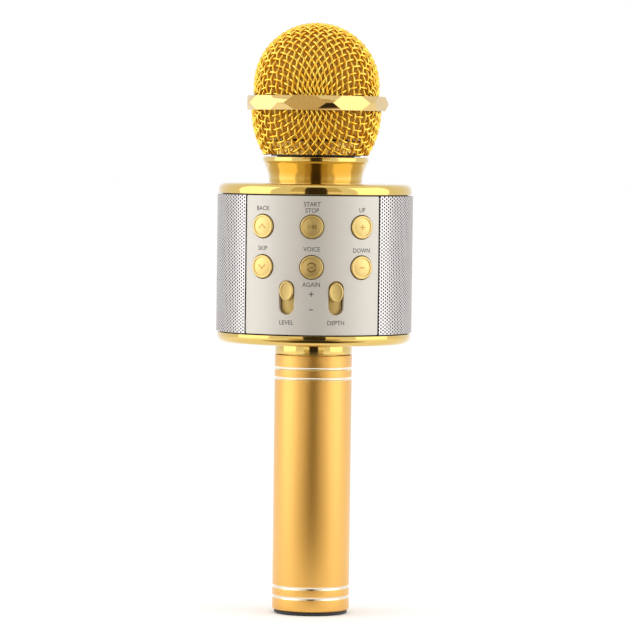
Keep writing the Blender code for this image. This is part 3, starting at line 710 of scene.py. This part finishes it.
# %% Front panel with its openings
BUTTONS = ("previous", "play_pause", "volume_up", "next", "mic_replay", "volume_down")
BUTTON_HOLE = 5.0 * MM
BUTTON_COLUMN = math.radians(30.0)
BUTTON_COLUMNS = (-BUTTON_COLUMN, 0.0, BUTTON_COLUMN)
SLIDER_ANGLE = math.radians(14.5)
SLOT_SIZE = (6.3 * MM, 13.8 * MM)
SLOT_HEIGHT = 132.3 * MM
button_place = {}
for number, name in enumerate(BUTTONS):
    button_place[name] = (BUTTON_COLUMNS[number % 3], middle_of(f"{name}_button")[1])

PANEL_OUTLINE = (0.0, wall_middle, 2 * PANEL_HALF, wall_height, 0.6 * MM)
openings = []
for angle, height in button_place.values():
    openings.append((angle * PANEL_RADIUS, height, 2 * BUTTON_HOLE, 2 * BUTTON_HOLE, BUTTON_HOLE))
for side in (-1, 1):
    openings.append((side * SLIDER_ANGLE * PANEL_RADIUS, SLOT_HEIGHT, *SLOT_SIZE, SLOT_SIZE[0] / 2))
bm = plate(PANEL_OUTLINE, openings, PANEL_THICKNESS, PANEL_EDGE, STRIP)
rolled(bm, PANEL_RADIUS)
fitted("front_panel", bm)

# %% [markdown]
# ## Printed words
# The panel says in small grey capitals what each control does. A text object is the natural start,
# because it brings its own letter shapes. It becomes a mesh, is sized by its real height, gets the
# thickness of a film of ink, and is rolled onto the panel like the plate was.

# %% Print words on a panel
INK_FILM = 0.03 * MM
LETTER_HEIGHT = 1.85 * MM
STROKE = 0.010
CAPITAL = 0.729  # height of the font's capitals, as a share of its size
NARROWING = 0.93
PLUS_SIZE = 1.6
MINUS_STRETCH = (2.6, 1.5, 1.0, 1.0)


def lettering(text, height):
    """A flat mesh of some capitals, centred on the origin and this high."""
    curve = bpy.data.curves.new("word", "FONT")
    curve.body = text
    curve.align_x = "CENTER"
    curve.resolution_u = 3
    curve.offset = STROKE
    mesh = mesh_of(curve)
    size = height / CAPITAL
    mesh.transform(Matrix.Diagonal((NARROWING * size, size, 1.0, 1.0)))
    return mesh


def printed(name, words, middle):
    """All the words of one panel, each as (text, angle from the panel's middle, height of its middle)."""
    bm = bmesh.new()
    for text, angle, height in words:
        size = LETTER_HEIGHT * (PLUS_SIZE if text == "+" else 1.0)
        mesh = lettering(text, size)
        if text == "-":
            mesh.transform(Matrix.Diagonal(MINUS_STRETCH))
        mesh.transform(Matrix.Translation((angle * PANEL_RADIUS, height - size / 2, -INK_FILM)))
        bm.from_mesh(mesh)
        bpy.data.meshes.remove(mesh)
    bmesh.ops.remove_doubles(bm, verts=bm.verts, dist=0.002 * MM)
    thickened(bm, 1.5 * INK_FILM)
    rolled(bm, PANEL_RADIUS, middle)
    added(name, bm, "microphone", finishes["ink"])


FRONT_WORDS = (
    ("BACK", -BUTTON_COLUMN, 168.5 * MM),
    ("START", 0.0, 170.3 * MM),
    ("STOP", 0.0, 167.8 * MM),
    ("UP", BUTTON_COLUMN, 168.1 * MM),
    ("SKIP", -BUTTON_COLUMN, 152.3 * MM),
    ("VOICE", 0.0, 152.1 * MM),
    ("DOWN", BUTTON_COLUMN, 151.7 * MM),
    ("AGAIN", 0.0, 137.8 * MM),
    ("+", 0.0, 133.9 * MM),
    ("-", 0.0, 127.6 * MM),
    ("LEVEL", -SLIDER_ANGLE, 122.3 * MM),
    ("DEPTH", SLIDER_ANGLE, 122.3 * MM),
)
printed("front_lettering", FRONT_WORDS, 0.0)

# %% [markdown]
# ## Push buttons
# Each button is a turned cap: a bright rim, a shallow dome inside it, and a flange that keeps it behind
# the panel. It is turned about its own axis and then stood on the barrel's wall by one matrix, which is
# kept in the mesh so that the object itself stays at the origin.

# %% Six buttons
def on_wall(angle, height):
    """The matrix that stands a piece on the wall: its Z points outwards and its Y points up."""
    place = Matrix.Translation((PANEL_RADIUS * math.sin(angle), -PANEL_RADIUS * math.cos(angle), height))
    return place @ Matrix.Rotation(angle, 4, "Z") @ Matrix.Rotation(math.pi / 2, 4, "X")


BUTTON_RADIUS = 4.65 * MM
FLANGE_RADIUS = 5.7 * MM
PUSHER_RADIUS = 1.8 * MM
RIM_HEIGHT = 0.55 * MM
DOME_RIM = 3.75 * MM
DOME_EDGE = 0.30 * MM
DOME_RISE = 0.40 * MM


def dome(distance):
    """How far the button's dome stands out at a distance from its middle."""
    return DOME_EDGE + DOME_RISE * (1.0 - (distance / DOME_RIM) ** 2)


button_outline = [
    (0.0, -3.9 * MM, 0.0),
    (PUSHER_RADIUS, -3.9 * MM, 0.1 * MM),
    (PUSHER_RADIUS, -3.6 * MM, 0.0),
    (FLANGE_RADIUS, -3.6 * MM, 0.1 * MM),
    (FLANGE_RADIUS, -2.8 * MM, 0.1 * MM),
    (BUTTON_RADIUS, -2.8 * MM, 0.1 * MM),
    (BUTTON_RADIUS, RIM_HEIGHT, 0.34 * MM),
    (DOME_RIM + 0.12 * MM, RIM_HEIGHT, 0.12 * MM),
]
for step in range(7):
    distance = DOME_RIM * (1.0 - step / 6)
    button_outline.append((distance, dome(distance), 0.0))
for name, (angle, height) in button_place.items():
    bm = turned(button_outline, 64)
    bm.transform(on_wall(angle, height))
    fitted(f"{name}_button", bm, 50.0)

# %% [markdown]
# The marks on the buttons are pressed strokes. A stroke starts as a thin bar, cut across so that it can
# follow the dome, and its points are set on the dome's own height. Arrows, plus and minus are bars at
# different angles, and the round mark is an arc of a ring.

# %% Marks on the buttons
MARK_WIDTH = 0.52 * MM
MARK_DEPTH = 0.10 * MM


def bar(bm, start, end, width=MARK_WIDTH):
    """A flat bar between two points, cut across in several places."""
    run = Vector(end) - Vector(start)
    pieces = max(2, round(run.length / (0.35 * MM)))
    place = Matrix.Translation((*((Vector(start) + Vector(end)) / 2), 0.0))
    place = place @ Matrix.Rotation(math.atan2(run.y, run.x), 4, "Z")
    place = place @ Matrix.Diagonal((run.length + width * 0.6, width, 1.0, 1.0))
    bmesh.ops.create_grid(bm, x_segments=pieces, y_segments=2, size=0.5, matrix=place)


def arc_bar(bm, radius, start, end):
    """A curved bar: a short edge spun part of a turn. Angles are in degrees."""
    heading = Vector((math.cos(math.radians(start)), math.sin(math.radians(start)), 0.0))
    ends = [bm.verts.new(heading * (radius + side * MARK_WIDTH / 2)) for side in (-1, 1)]
    edge = bm.edges.new(ends)
    turn = math.radians(end - start)
    bmesh.ops.spin(bm, geom=[*ends, edge], cent=(0, 0, 0), axis=(0, 0, 1), angle=turn, steps=12)


def arrow(bm, sign):
    """A caret that points up or down."""
    tip = (0.0, sign * 0.85 * MM)
    for side in (-1, 1):
        bar(bm, (side * 1.45 * MM, -sign * 0.75 * MM), tip)


def back_mark(bm):
    arrow(bm, 1)


def skip_mark(bm):
    arrow(bm, -1)


def play_pause_mark(bm):
    """A small triangle and two bars."""
    bmesh.ops.create_circle(
        bm,
        cap_ends=True,
        radius=0.95 * MM,
        segments=3,
        matrix=Matrix.Translation((-1.1 * MM, 0.0, 0.0)) @ Matrix.Rotation(-math.pi / 2, 4, "Z"),
    )
    for x in (0.55 * MM, 1.55 * MM):
        bar(bm, (x, -0.65 * MM), (x, 0.65 * MM))


def replay_mark(bm):
    """Two arcs that chase each other round a small bar."""
    arc_bar(bm, 1.75 * MM, 25, 165)
    arc_bar(bm, 1.75 * MM, 205, 345)
    for side in (-1, 1):
        bar(bm, (side * 1.75 * MM, side * 0.2 * MM), (side * 1.1 * MM, side * 0.75 * MM), 0.4 * MM)
    bar(bm, (-0.55 * MM, 0.0), (0.55 * MM, 0.0))


def plus_mark(bm):
    bar(bm, (0.0, -1.0 * MM), (0.0, 1.0 * MM))
    minus_mark(bm)


def minus_mark(bm):
    bar(bm, (-1.0 * MM, 0.0), (1.0 * MM, 0.0))


MARKS = {
    "previous": back_mark,
    "play_pause": play_pause_mark,
    "volume_up": plus_mark,
    "next": skip_mark,
    "mic_replay": replay_mark,
    "volume_down": minus_mark,
}
for name, draw in MARKS.items():
    bm = bmesh.new()
    draw(bm)
    raised = set(thickened(bm, 0.0))
    for point in bm.verts:
        level = dome(point.co.xy.length)
        point.co.z = level + 0.02 * MM if point in raised else level - MARK_DEPTH
    bm.transform(on_wall(*button_place[name]))
    added(f"{name}_mark", bm, f"{name}_button", finishes["icon_gold"])

# %% [markdown]
# ## Sliders
# A slider's knob is an oval that stands out of its slot on a long cover plate. The plate slides along
# with it and is the gold floor that shows in the rest of the slot. The oval is drawn out of a stretched
# circle by extrusions and insets, which give it its bevelled rim and its slightly hollow top.

# %% Two slider knobs
def stepped(bm, faces, moves):
    """Raises a flat face in steps of (rise, inset), like the tiers of a cake, and returns the top."""
    for rise, inset in moves:
        if inset:
            bmesh.ops.inset_region(bm, faces=faces, thickness=inset, depth=rise, use_even_offset=True)
        else:
            grown = bmesh.ops.extrude_face_region(bm, geom=faces)["geom"]
            stale = faces
            faces = [part for part in grown if isinstance(part, bmesh.types.BMFace)]
            bmesh.ops.delete(bm, geom=stale, context="FACES_ONLY")
            bmesh.ops.translate(bm, verts=points_of(grown), vec=(0, 0, rise))
    return faces


def box_piece(bm, low, high, edge):
    """A block between two corners with rounded edges."""
    size = Vector(high) - Vector(low)
    centre = (Vector(high) + Vector(low)) / 2
    place = Matrix.Translation(centre) @ Matrix.Diagonal((*size, 1.0))
    made = bmesh.ops.create_cube(bm, size=1.0, matrix=place)["verts"]
    edges = {link for point in made for link in point.link_edges}
    rounded(bm, list(edges), edge, 3, "EDGES")


KNOB_SIZE = (5.7 * MM, 7.9 * MM)
KNOB_ROOT = -2.55 * MM
KNOB_TIERS = ((3.2 * MM, 0.0), (0.16 * MM, 0.10 * MM), (0.14 * MM, 0.16 * MM), (0.06 * MM, 0.22 * MM))
KNOB_HOLLOW = ((-0.10 * MM, 0.22 * MM), (-0.05 * MM, 0.30 * MM))
wide, tall = 2.9 * MM, 10.5 * MM  # half the cover plate
for name, side in (("mic_volume", -1), ("echo", 1)):
    low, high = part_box(f"{name}_knob")
    height = (low.z + high.z) / 2
    bm = bmesh.new()
    stretch = Matrix.Diagonal((KNOB_SIZE[0] / 2, KNOB_SIZE[1] / 2, 1.0, 1.0))
    place = Matrix.Translation((0, 0, KNOB_ROOT)) @ stretch
    bmesh.ops.create_circle(bm, cap_ends=True, radius=1.0, segments=64, matrix=place)
    bmesh.ops.duplicate(bm, geom=bm.faces[:])
    stepped(bm, bm.faces[:1], KNOB_TIERS + KNOB_HOLLOW)
    bmesh.ops.remove_doubles(bm, verts=bm.verts, dist=0.001 * MM)
    box_piece(bm, (-wide, -tall, -3.1 * MM), (wide, tall, -2.5 * MM), 0.12 * MM)
    box_piece(bm, (-0.6 * MM, -0.8 * MM, -5.2 * MM), (0.6 * MM, 0.8 * MM, -2.9 * MM), 0.1 * MM)
    bm.transform(on_wall(side * SLIDER_ANGLE, height))
    fitted(f"{name}_knob", bm, 40.0)

# %% [markdown]
# ## Rear panel
# The back has its own panel with the power switch, a small light and the ports. It is made exactly like
# the front one. The controls and ports themselves are already the right shape in the frame, so they are
# copied with their sharp edges rounded.

# %% Rear panel and its printed words
openings = [
    (0.0, 160.5 * MM, 3.6 * MM, 8.0 * MM, 0.8 * MM),
    (0.0, 151.0 * MM, 2.8 * MM, 2.8 * MM, 1.4 * MM),
    (0.0, 143.5 * MM, 9.8 * MM, 4.0 * MM, 1.7 * MM),
    (0.0, 135.0 * MM, 12.8 * MM, 2.5 * MM, 0.4 * MM),
    (0.0, 126.0 * MM, 6.8 * MM, 6.8 * MM, 3.4 * MM),
]
bm = plate(PANEL_OUTLINE, openings, PANEL_THICKNESS, PANEL_EDGE, STRIP)
rolled(bm, PANEL_RADIUS, math.pi)
fitted("rear_panel", bm)

WORD_ANGLE = math.radians(17.0)
REAR_WORDS = (
    ("ON", math.radians(8.0), 162.6 * MM),
    ("OFF", math.radians(8.0), 158.4 * MM),
    ("CHARGE", WORD_ANGLE, 143.5 * MM),
    ("CARD", WORD_ANGLE, 135.0 * MM),
    ("AUDIO", WORD_ANGLE, 126.0 * MM),
)
printed("rear_lettering", REAR_WORDS, math.pi)


# %% Rounded copies of parts of the frame
SHARP_ANGLE = math.radians(38.0)


def softened(node, width):
    """A copy of a node with its flat faces joined up and its sharp edges rounded."""
    bm = bmesh.new()
    bm.from_mesh(frame["nodes"][node].data)
    bmesh.ops.remove_doubles(bm, verts=bm.verts, dist=0.001 * MM)
    bmesh.ops.dissolve_limit(bm, angle_limit=math.radians(1.0), verts=bm.verts, edges=bm.edges)
    shared = [edge for edge in bm.edges if len(edge.link_faces) == 2]
    sharp = [edge for edge in shared if edge.calc_face_angle() > SHARP_ANGLE]
    rounded(bm, sharp, width, 2, "EDGES", clamp=True)
    return bm


for node in ("power_switch_knob", "charging_port", "card_socket", "audio_jack"):
    fitted(node, softened(node, 0.12 * MM))

# %% [markdown]
# ## Side grilles
# A grille is a sheet with some two thousand round holes, so each hole must be cheap. One hexagonal tile
# with one hole is made, and then the sheet is doubled again and again until it is big enough: twelve
# copies are enough for thousands of holes. It is trimmed to size, thickened and rolled like the panels.

# %% Perforated grilles
HOLE_PITCH = 1.39 * MM
HOLE_RADIUS = 0.41 * MM
SHEET = 0.6 * MM
TRIM_SHIFT = (0.13 * MM, 0.07 * MM)  # keeps the trimmed edge from grazing a row of holes
GRILLE_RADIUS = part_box("right_grille")[1].x
GRILLE_HALF = GRILLE_RADIUS * math.radians(47.4)


def doubled(bm, step, count):
    """Copies the whole sheet beside itself until it holds at least count tiles along a step."""
    made = 1
    while made < count:
        copied(bm, Vector(step) * made)
        made *= 2
    return made


def perforated(width, height):
    """A flat sheet of staggered holes, centred on the origin."""
    bm = bmesh.new()
    column = HOLE_PITCH * math.sqrt(0.75)
    corner_up = Matrix.Rotation(math.pi / 2, 4, "Z")
    tile_radius = HOLE_PITCH / math.sqrt(3.0)
    bmesh.ops.create_circle(bm, cap_ends=False, radius=tile_radius, segments=6, matrix=corner_up)
    bmesh.ops.create_circle(bm, cap_ends=False, radius=HOLE_RADIUS, segments=12, matrix=corner_up)
    bmesh.ops.bridge_loops(bm, edges=bm.edges[:])
    copied(bm, (column, HOLE_PITCH / 2, 0.0))
    rows = doubled(bm, (0.0, HOLE_PITCH, 0.0), height / HOLE_PITCH + 2)
    columns = doubled(bm, (2 * column, 0.0, 0.0), width / (2 * column) + 2)
    centring = (TRIM_SHIFT[0] - column * columns, TRIM_SHIFT[1] - HOLE_PITCH * rows / 2, 0.0)
    bmesh.ops.translate(bm, verts=bm.verts, vec=centring)
    bmesh.ops.remove_doubles(bm, verts=bm.verts, dist=0.002 * MM)
    for heading, reach in (((1, 0, 0), width / 2), ((0, 1, 0), height / 2)):
        for sign in (-1, 1):
            way = Vector(heading) * sign
            bmesh.ops.bisect_plane(
                bm, geom=everything(bm), dist=0.02 * MM, plane_co=way * reach, plane_no=way, clear_outer=True
            )
    return bm


for node, middle in (("left_grille", -math.pi / 2), ("right_grille", math.pi / 2)):
    bm = perforated(2 * GRILLE_HALF, wall_height)
    thickened(bm, -SHEET)
    bmesh.ops.translate(bm, verts=bm.verts, vec=(0, wall_middle, 0))
    rolled(bm, GRILLE_RADIUS, middle)
    fitted(node, bm)

# %% [markdown]
# ## Woven head
# The head is two pieces of plain-woven wire cloth, pressed into a dome and a cup. When cloth is pressed,
# its wires don't stretch: the square cells shear into diamonds. A net of equal steps does the same. It
# starts from two crossed wires through the pole, and each further crossing is the mirror of the one
# across its cell. The cells square at the pole become long diamonds at the sides, as on the real dome.

# %% A net of wires over a sphere
WIRE = 0.47 * MM
SWING = 0.45 * MM
CELL = 2.9 * MM
NET_RADIUS = 25.4 * MM
NET_REACH = 26


def woven_net(step):
    """The directions of the crossings of two sets of wires, from the pole of a sphere outwards."""
    net = {}
    pole = Vector((0.0, 0.0, 1.0))
    first = Vector((math.sqrt(0.5), -math.sqrt(0.5), 0.0))
    second = Vector((-math.sqrt(0.5), -math.sqrt(0.5), 0.0))
    for i in range(-NET_REACH, NET_REACH + 1):
        net[i, 0] = pole * math.cos(i * step) + first * math.sin(i * step)
        net[0, i] = pole * math.cos(i * step) + second * math.sin(i * step)
    for a in (-1, 1):
        for b in (-1, 1):
            for i in range(NET_REACH):
                for j in range(NET_REACH):
                    start = net[a * i, b * j]
                    middle = (net[a * (i + 1), b * j] + net[a * i, b * (j + 1)]).normalized()
                    net[a * (i + 1), b * (j + 1)] = (middle * (2 * start.dot(middle)) - start).normalized()
    return net


net = woven_net(CELL / NET_RADIUS)
print("the net has", len(net), "crossings")

# %% [markdown]
# The net is laid on each piece by the distance from its pole: the dome turns into a short straight skirt
# inside the band, and the cup follows the arc of the lower head down to the neck. In between two
# crossings a wire swings from above its neighbour to below the next, which is all that weaving is.

# %% Lay the wires on the head
mesh_low, mesh_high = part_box("head_mesh_upper")
DOME_RADIUS = 26.2 * MM
DOME_HEIGHT = mesh_high.z - DOME_RADIUS
cup_low, cup_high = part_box("head_mesh_lower")
BULGE_RADIUS = cup_high.x
BULGE_HEIGHT = 208.0 * MM
FLARE = 33.75 * MM
INSET = WIRE + SWING


def on_dome(heading, swing):
    slope = math.acos(max(-1.0, min(1.0, heading.z)))
    radius = DOME_RADIUS - INSET + swing
    if slope <= math.pi / 2:
        return Vector((0.0, 0.0, DOME_HEIGHT)) + heading * radius
    side = Vector((heading.x, heading.y, 0.0)).normalized() * radius
    return side + Vector((0.0, 0.0, DOME_HEIGHT - NET_RADIUS * (slope - math.pi / 2)))


def on_cup(heading, swing):
    down = NET_RADIUS * (math.pi / 2 - math.acos(max(-1.0, min(1.0, heading.z))))
    side = Vector((heading.x, heading.y, 0.0)).normalized()
    if down <= 0.0:
        return side * (BULGE_RADIUS - INSET + swing) + Vector((0.0, 0.0, BULGE_HEIGHT - down))
    arc = FLARE - INSET + swing
    radius = BULGE_RADIUS - FLARE + arc * math.cos(down / FLARE)
    return side * radius + Vector((0.0, 0.0, BULGE_HEIGHT - arc * math.sin(down / FLARE)))


STEPS = 4


def wire_path(crossings, first, parity, place):
    """Points along one wire, swinging over and under at its crossings, of which the first has this number."""
    points = []
    for number, (start, end) in enumerate(zip(crossings, crossings[1:]), first):
        for step in range(STEPS):
            share = step / STEPS
            swing = SWING * parity * math.cos(math.pi * (number + share))
            points.append(place(start.slerp(end, share), swing))
    return points


def between(points, low, high):
    """The runs of a path that lie between two heights, cut clean at both."""
    runs = []
    run = []
    for start, end in zip(points, points[1:]):
        inside = low <= start.z <= high
        if inside:
            run.append(start)
        for level in (low, high):
            if (start.z - level) * (end.z - level) < 0.0:
                run.append(start.lerp(end, (level - start.z) / (end.z - start.z)))
        if run and not low <= end.z <= high:
            runs.append(run)
            run = []
    return [run for run in runs + [run] if len(run) > 2]


def wires_of(place, steepest, low, high):
    """Every run of wire of one woven piece, each followed both ways from the wires through the pole."""
    runs = []
    for family in (0, 1):
        for across in range(-NET_REACH, NET_REACH + 1):
            crossings = {}
            for way in (-1, 1):
                for i in range(NET_REACH):
                    key = (way * i, across) if family == 0 else (across, way * i)
                    if net[key].z < steepest:
                        break
                    crossings[way * i] = net[key]
            if len(crossings) > 1:
                order = sorted(crossings)
                parity = (1 - 2 * family) * (-1) ** across
                path = wire_path([crossings[i] for i in order], order[0], parity, place)
                runs += between(path, low, high)
    return runs


# %% Two woven pieces
def woven(node, runs):
    """Draws each run as a round wire, and keeps them all as one mesh."""
    curve = bpy.data.curves.new(node, "CURVE")
    curve.dimensions = "3D"
    curve.bevel_depth = WIRE
    curve.bevel_resolution = 2
    curve.use_fill_caps = True
    for run in runs:
        spline = curve.splines.new("POLY")
        spline.points.add(len(run) - 1)
        for target, point in zip(spline.points, run):
            target.co = (*point, 1.0)
    mesh = mesh_of(curve)
    bm = bmesh.new()
    bm.from_mesh(mesh)
    bpy.data.meshes.remove(mesh)
    fitted(node, bm, 60.0)


DOME_STEEPEST = -0.36
CUP_STEEPEST = -0.24
woven("head_mesh_upper", wires_of(on_dome, DOME_STEEPEST, mesh_low.z + WIRE, 1.0))
woven("head_mesh_lower", wires_of(on_cup, CUP_STEEPEST, cup_low.z + WIRE, cup_high.z - WIRE))

# %% [markdown]
# ## Band, foam and thread
# The band is a ring with nine flats. The frame has its exact shape, and all that a polished band needs is
# a hair's width of round on its ridges. The foam liner behind the mesh is a soft bag: a turned shell that
# is pushed in and out a little all over. Under it the head screws onto a threaded socket, whose thread is
# one ridge spun with a rise.

# %% Band and its ring
fitted("head_band", softened("head_band", 0.10 * MM), 20.0)
ring_low, ring_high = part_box("head_thread_ring")
ring_bore = 19.3 * MM
ring_outline = [
    (ring_bore, ring_low.z, 0.1 * MM),
    (20.0 * MM, ring_low.z, 0.2 * MM),
    (20.2 * MM, ring_high.z, 0.2 * MM),
    (ring_bore, ring_high.z, 0.1 * MM),
]
fitted("head_thread_ring", turned(ring_outline))

# %% Threaded socket
socket_low, socket_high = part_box("head_socket")
socket_bore = 13.5 * MM
thread_crest = socket_high.x
thread_root = thread_crest - 0.55 * MM
socket_foot = neck_high.z + CLEARANCE
socket_outline = [
    (socket_bore, socket_low.z, 0.1 * MM),
    (neck_bore - CLEARANCE, socket_low.z, 0.2 * MM),
    (neck_bore - CLEARANCE, socket_foot, 0.0),
    (thread_root, socket_foot, 0.15 * MM),
    (thread_root, socket_high.z, 0.3 * MM),
    (socket_bore, socket_high.z, 0.3 * MM),
]
bm = turned(socket_outline)
THREAD_PITCH = 1.5 * MM
THREAD_TURNS = 3.5
TURN_STEPS = 64
ridge = [(thread_root - 0.1 * MM, -0.5 * MM), (thread_crest, -0.12 * MM), (thread_crest, 0.12 * MM)]
ridge.append((thread_root - 0.1 * MM, 0.5 * MM))
start_height = socket_foot + 0.7 * MM
corners = [bm.verts.new((radius, 0.0, start_height + rise)) for radius, rise in ridge]
side = bm.faces.new(corners)
bmesh.ops.spin(
    bm,
    geom=[side],
    cent=(0, 0, 0),
    axis=(0, 0, 1),
    dvec=(0, 0, THREAD_PITCH / TURN_STEPS),
    angle=math.tau * THREAD_TURNS,
    steps=int(THREAD_TURNS * TURN_STEPS),
)
fitted("head_socket", bm)

# %% Foam liner
FOAM_RADIUS = 24.2 * MM
FOAM_WALL = 2.6 * MM
FOAM_FOOT_RADIUS = 22.8 * MM
FOAM_FOOT = 196.6 * MM
foam_outline = [(0.0, DOME_HEIGHT + FOAM_RADIUS, 0.0)]
for step in range(1, 19):
    angle = math.radians(5 * step)
    foam_outline.append((FOAM_RADIUS * math.sin(angle), DOME_HEIGHT + FOAM_RADIUS * math.cos(angle), 0.0))
for step in range(1, 9):
    foam_outline.append((FOAM_RADIUS, DOME_HEIGHT - 2.2 * MM * step, 0.0))
foam_outline.append((FOAM_FOOT_RADIUS, FOAM_FOOT, 0.3 * MM))
foam_outline.append((FOAM_FOOT_RADIUS - FOAM_WALL, FOAM_FOOT, 0.3 * MM))
foam_outline.append((FOAM_RADIUS - FOAM_WALL, DOME_HEIGHT - 17.6 * MM, 0.0))
for step in range(18):
    angle = math.radians(90 - 5 * step)
    reach = FOAM_RADIUS - FOAM_WALL
    foam_outline.append((reach * math.sin(angle), DOME_HEIGHT + reach * math.cos(angle), 0.0))
foam_outline.append((0.0, DOME_HEIGHT + FOAM_RADIUS - FOAM_WALL, 0.0))
bm = turned(foam_outline, 96)
middle = Vector((0, 0, DOME_HEIGHT))
for point in bm.verts:
    heading = (point.co - middle).normalized()
    ripple = math.sin(41 * heading.x) * math.sin(37 * heading.y + 1.0) * math.sin(43 * heading.z + 2.0)
    point.co -= heading * 0.10 * MM * (1.0 + ripple)
foam_piece = fitted("foam_liner", bm, 60.0)

# %% [markdown]
# ## Inside
# The speakers, boards, battery and capsule show only through holes and gaps, and their plain solids have
# the right shape already. They stay as they are and get the same finishes as everything else.

# %% Finish the parts that stay
kept = 0
for node, piece in frame["nodes"].items():
    if not piece.hide_render:
        for place in piece.material_slots:
            place.material = finishes[slot_of[node]]
        if not piece.material_slots:
            piece.data.materials.append(finishes[slot_of[node]])
        kept += 1
print(kept, "plain parts finished")

# %% [markdown]
# ## Camera and light
# The microphone stands on a pale floor in a white room and is seen with a long lens from a little above
# its middle. Two large soft lights stand at its sides. Polished gold shows only what is around it, so a
# dark board stands in front, a little to one side: it draws the dark line down the middle that makes
# metal look like metal. Tinted boards round it keep the rest of the front from turning white. Only
# reflections show any of them.

# %% Camera
EYE_DISTANCE = 1590 * MM
EYE_HEIGHT = 190 * MM
AIM_HEIGHT = 123.8 * MM
VIEW_TURN = math.radians(1.7)
VIEW_ROLL = math.radians(0.7)
eye = Vector((EYE_DISTANCE * math.sin(VIEW_TURN), -EYE_DISTANCE * math.cos(VIEW_TURN), EYE_HEIGHT))
aim = Vector((0.46 * MM, 0.0, AIM_HEIGHT))
lens = bpy.data.cameras.new("camera")
lens.sensor_width = 36.0
lens.lens = 219.0
lens.clip_start = 0.05
camera = bpy.data.objects.new("camera", lens)
bpy.context.scene.collection.objects.link(camera)
facing = (aim - eye).to_track_quat("-Z", "Y").to_matrix().to_4x4()
camera.matrix_world = Matrix.Translation(eye) @ facing @ Matrix.Rotation(VIEW_ROLL, 4, "Z")
bpy.context.scene.camera = camera
print("the camera stands", round(eye.length, 2), "m away")


# %% Lights, floor and dark board
def staged(name, width, height, colour, place):
    """A flat sheet that isn't part of the microphone."""
    bm = bmesh.new()
    size = Matrix.Diagonal((width, height, 1, 1))
    bmesh.ops.create_grid(bm, x_segments=1, y_segments=1, size=0.5, matrix=size)
    bm.transform(place)
    mesh = bpy.data.meshes.new(name)
    bm.to_mesh(mesh)
    bm.free()
    paint = bpy.data.materials.new(name)
    paint.use_nodes = True
    shader = paint.node_tree.nodes["Principled BSDF"]
    shader.inputs["Base Color"].default_value = colour
    shader.inputs["Roughness"].default_value = 0.9
    mesh.materials.append(paint)
    made = bpy.data.objects.new(name, mesh)
    bpy.context.scene.collection.objects.link(made)
    return made


staged("floor", 60.0, 60.0, shade(1.0, 1.0, 1.0), Matrix.Translation((0, 0, -0.00005)))
BOARD_TURN = math.radians(2.6)


def reflector(name, width, height, colour, distance, lift, tilt=90.0):
    """A board that only metal can see: it stands in front, or lies down if its tilt is none."""
    place = Matrix.Rotation(BOARD_TURN, 4, "Z") @ Matrix.Translation((0, -distance, lift))
    made = staged(name, width, height, colour, place @ Matrix.Rotation(math.radians(tilt), 4, "X"))
    made.visible_camera = False
    made.visible_shadow = False
    made.visible_diffuse = False


DARK_BROWN = shade(0.02, 0.010, 0.004)
TINTED = (
    ("low_board", 0.0, 0.085, shade(0.60, 0.48, 0.32)),
    ("middle_board", 0.085, 0.20, shade(0.94, 0.90, 0.80)),
    ("high_board", 0.20, 1.19, shade(0.58, 0.48, 0.34)),
)
for name, low, high, colour in TINTED:
    reflector(name, 0.70, high - low, colour, 0.62, (low + high) / 2)
reflector("tinted_mat", 0.50, 0.50, shade(0.40, 0.30, 0.18), 0.36, 0.0005, 0.0)
reflector("dark_board", 0.28, 1.09, DARK_BROWN, 0.60, 0.55)
reflector("dark_mat", 0.22, 0.46, DARK_BROWN, 0.36, 0.001, 0.0)


LIGHT_DISTANCE = 0.9
LIGHT_HEIGHT = 0.35
LIGHT_SIZE = (0.8, 1.3)


def soft_light(name, turn, power):
    """A large soft light at an angle from the front, aimed at the microphone."""
    lamp = bpy.data.lights.new(name, "AREA")
    lamp.shape = "RECTANGLE"
    lamp.size, lamp.size_y = LIGHT_SIZE
    lamp.energy = power
    made = bpy.data.objects.new(name, lamp)
    bpy.context.scene.collection.objects.link(made)
    angle = math.radians(turn)
    spot = Vector((LIGHT_DISTANCE * math.sin(angle), -LIGHT_DISTANCE * math.cos(angle), LIGHT_HEIGHT))
    made.matrix_world = Matrix.Translation(spot) @ (aim - spot).to_track_quat("-Z", "Y").to_matrix().to_4x4()


soft_light("left_light", -75, 3.5)
soft_light("right_light", 75, 3.1)
sky = bpy.data.worlds.new("white_room")
sky.use_nodes = True
sky.node_tree.nodes["Background"].inputs["Color"].default_value = shade(1.0, 1.0, 1.0)
sky.node_tree.nodes["Background"].inputs["Strength"].default_value = 1.0
bpy.context.scene.world = sky
bpy.context.scene.view_settings.view_transform = "Standard"
print("two lights and", len(TINTED) + 3, "boards stand round the microphone")
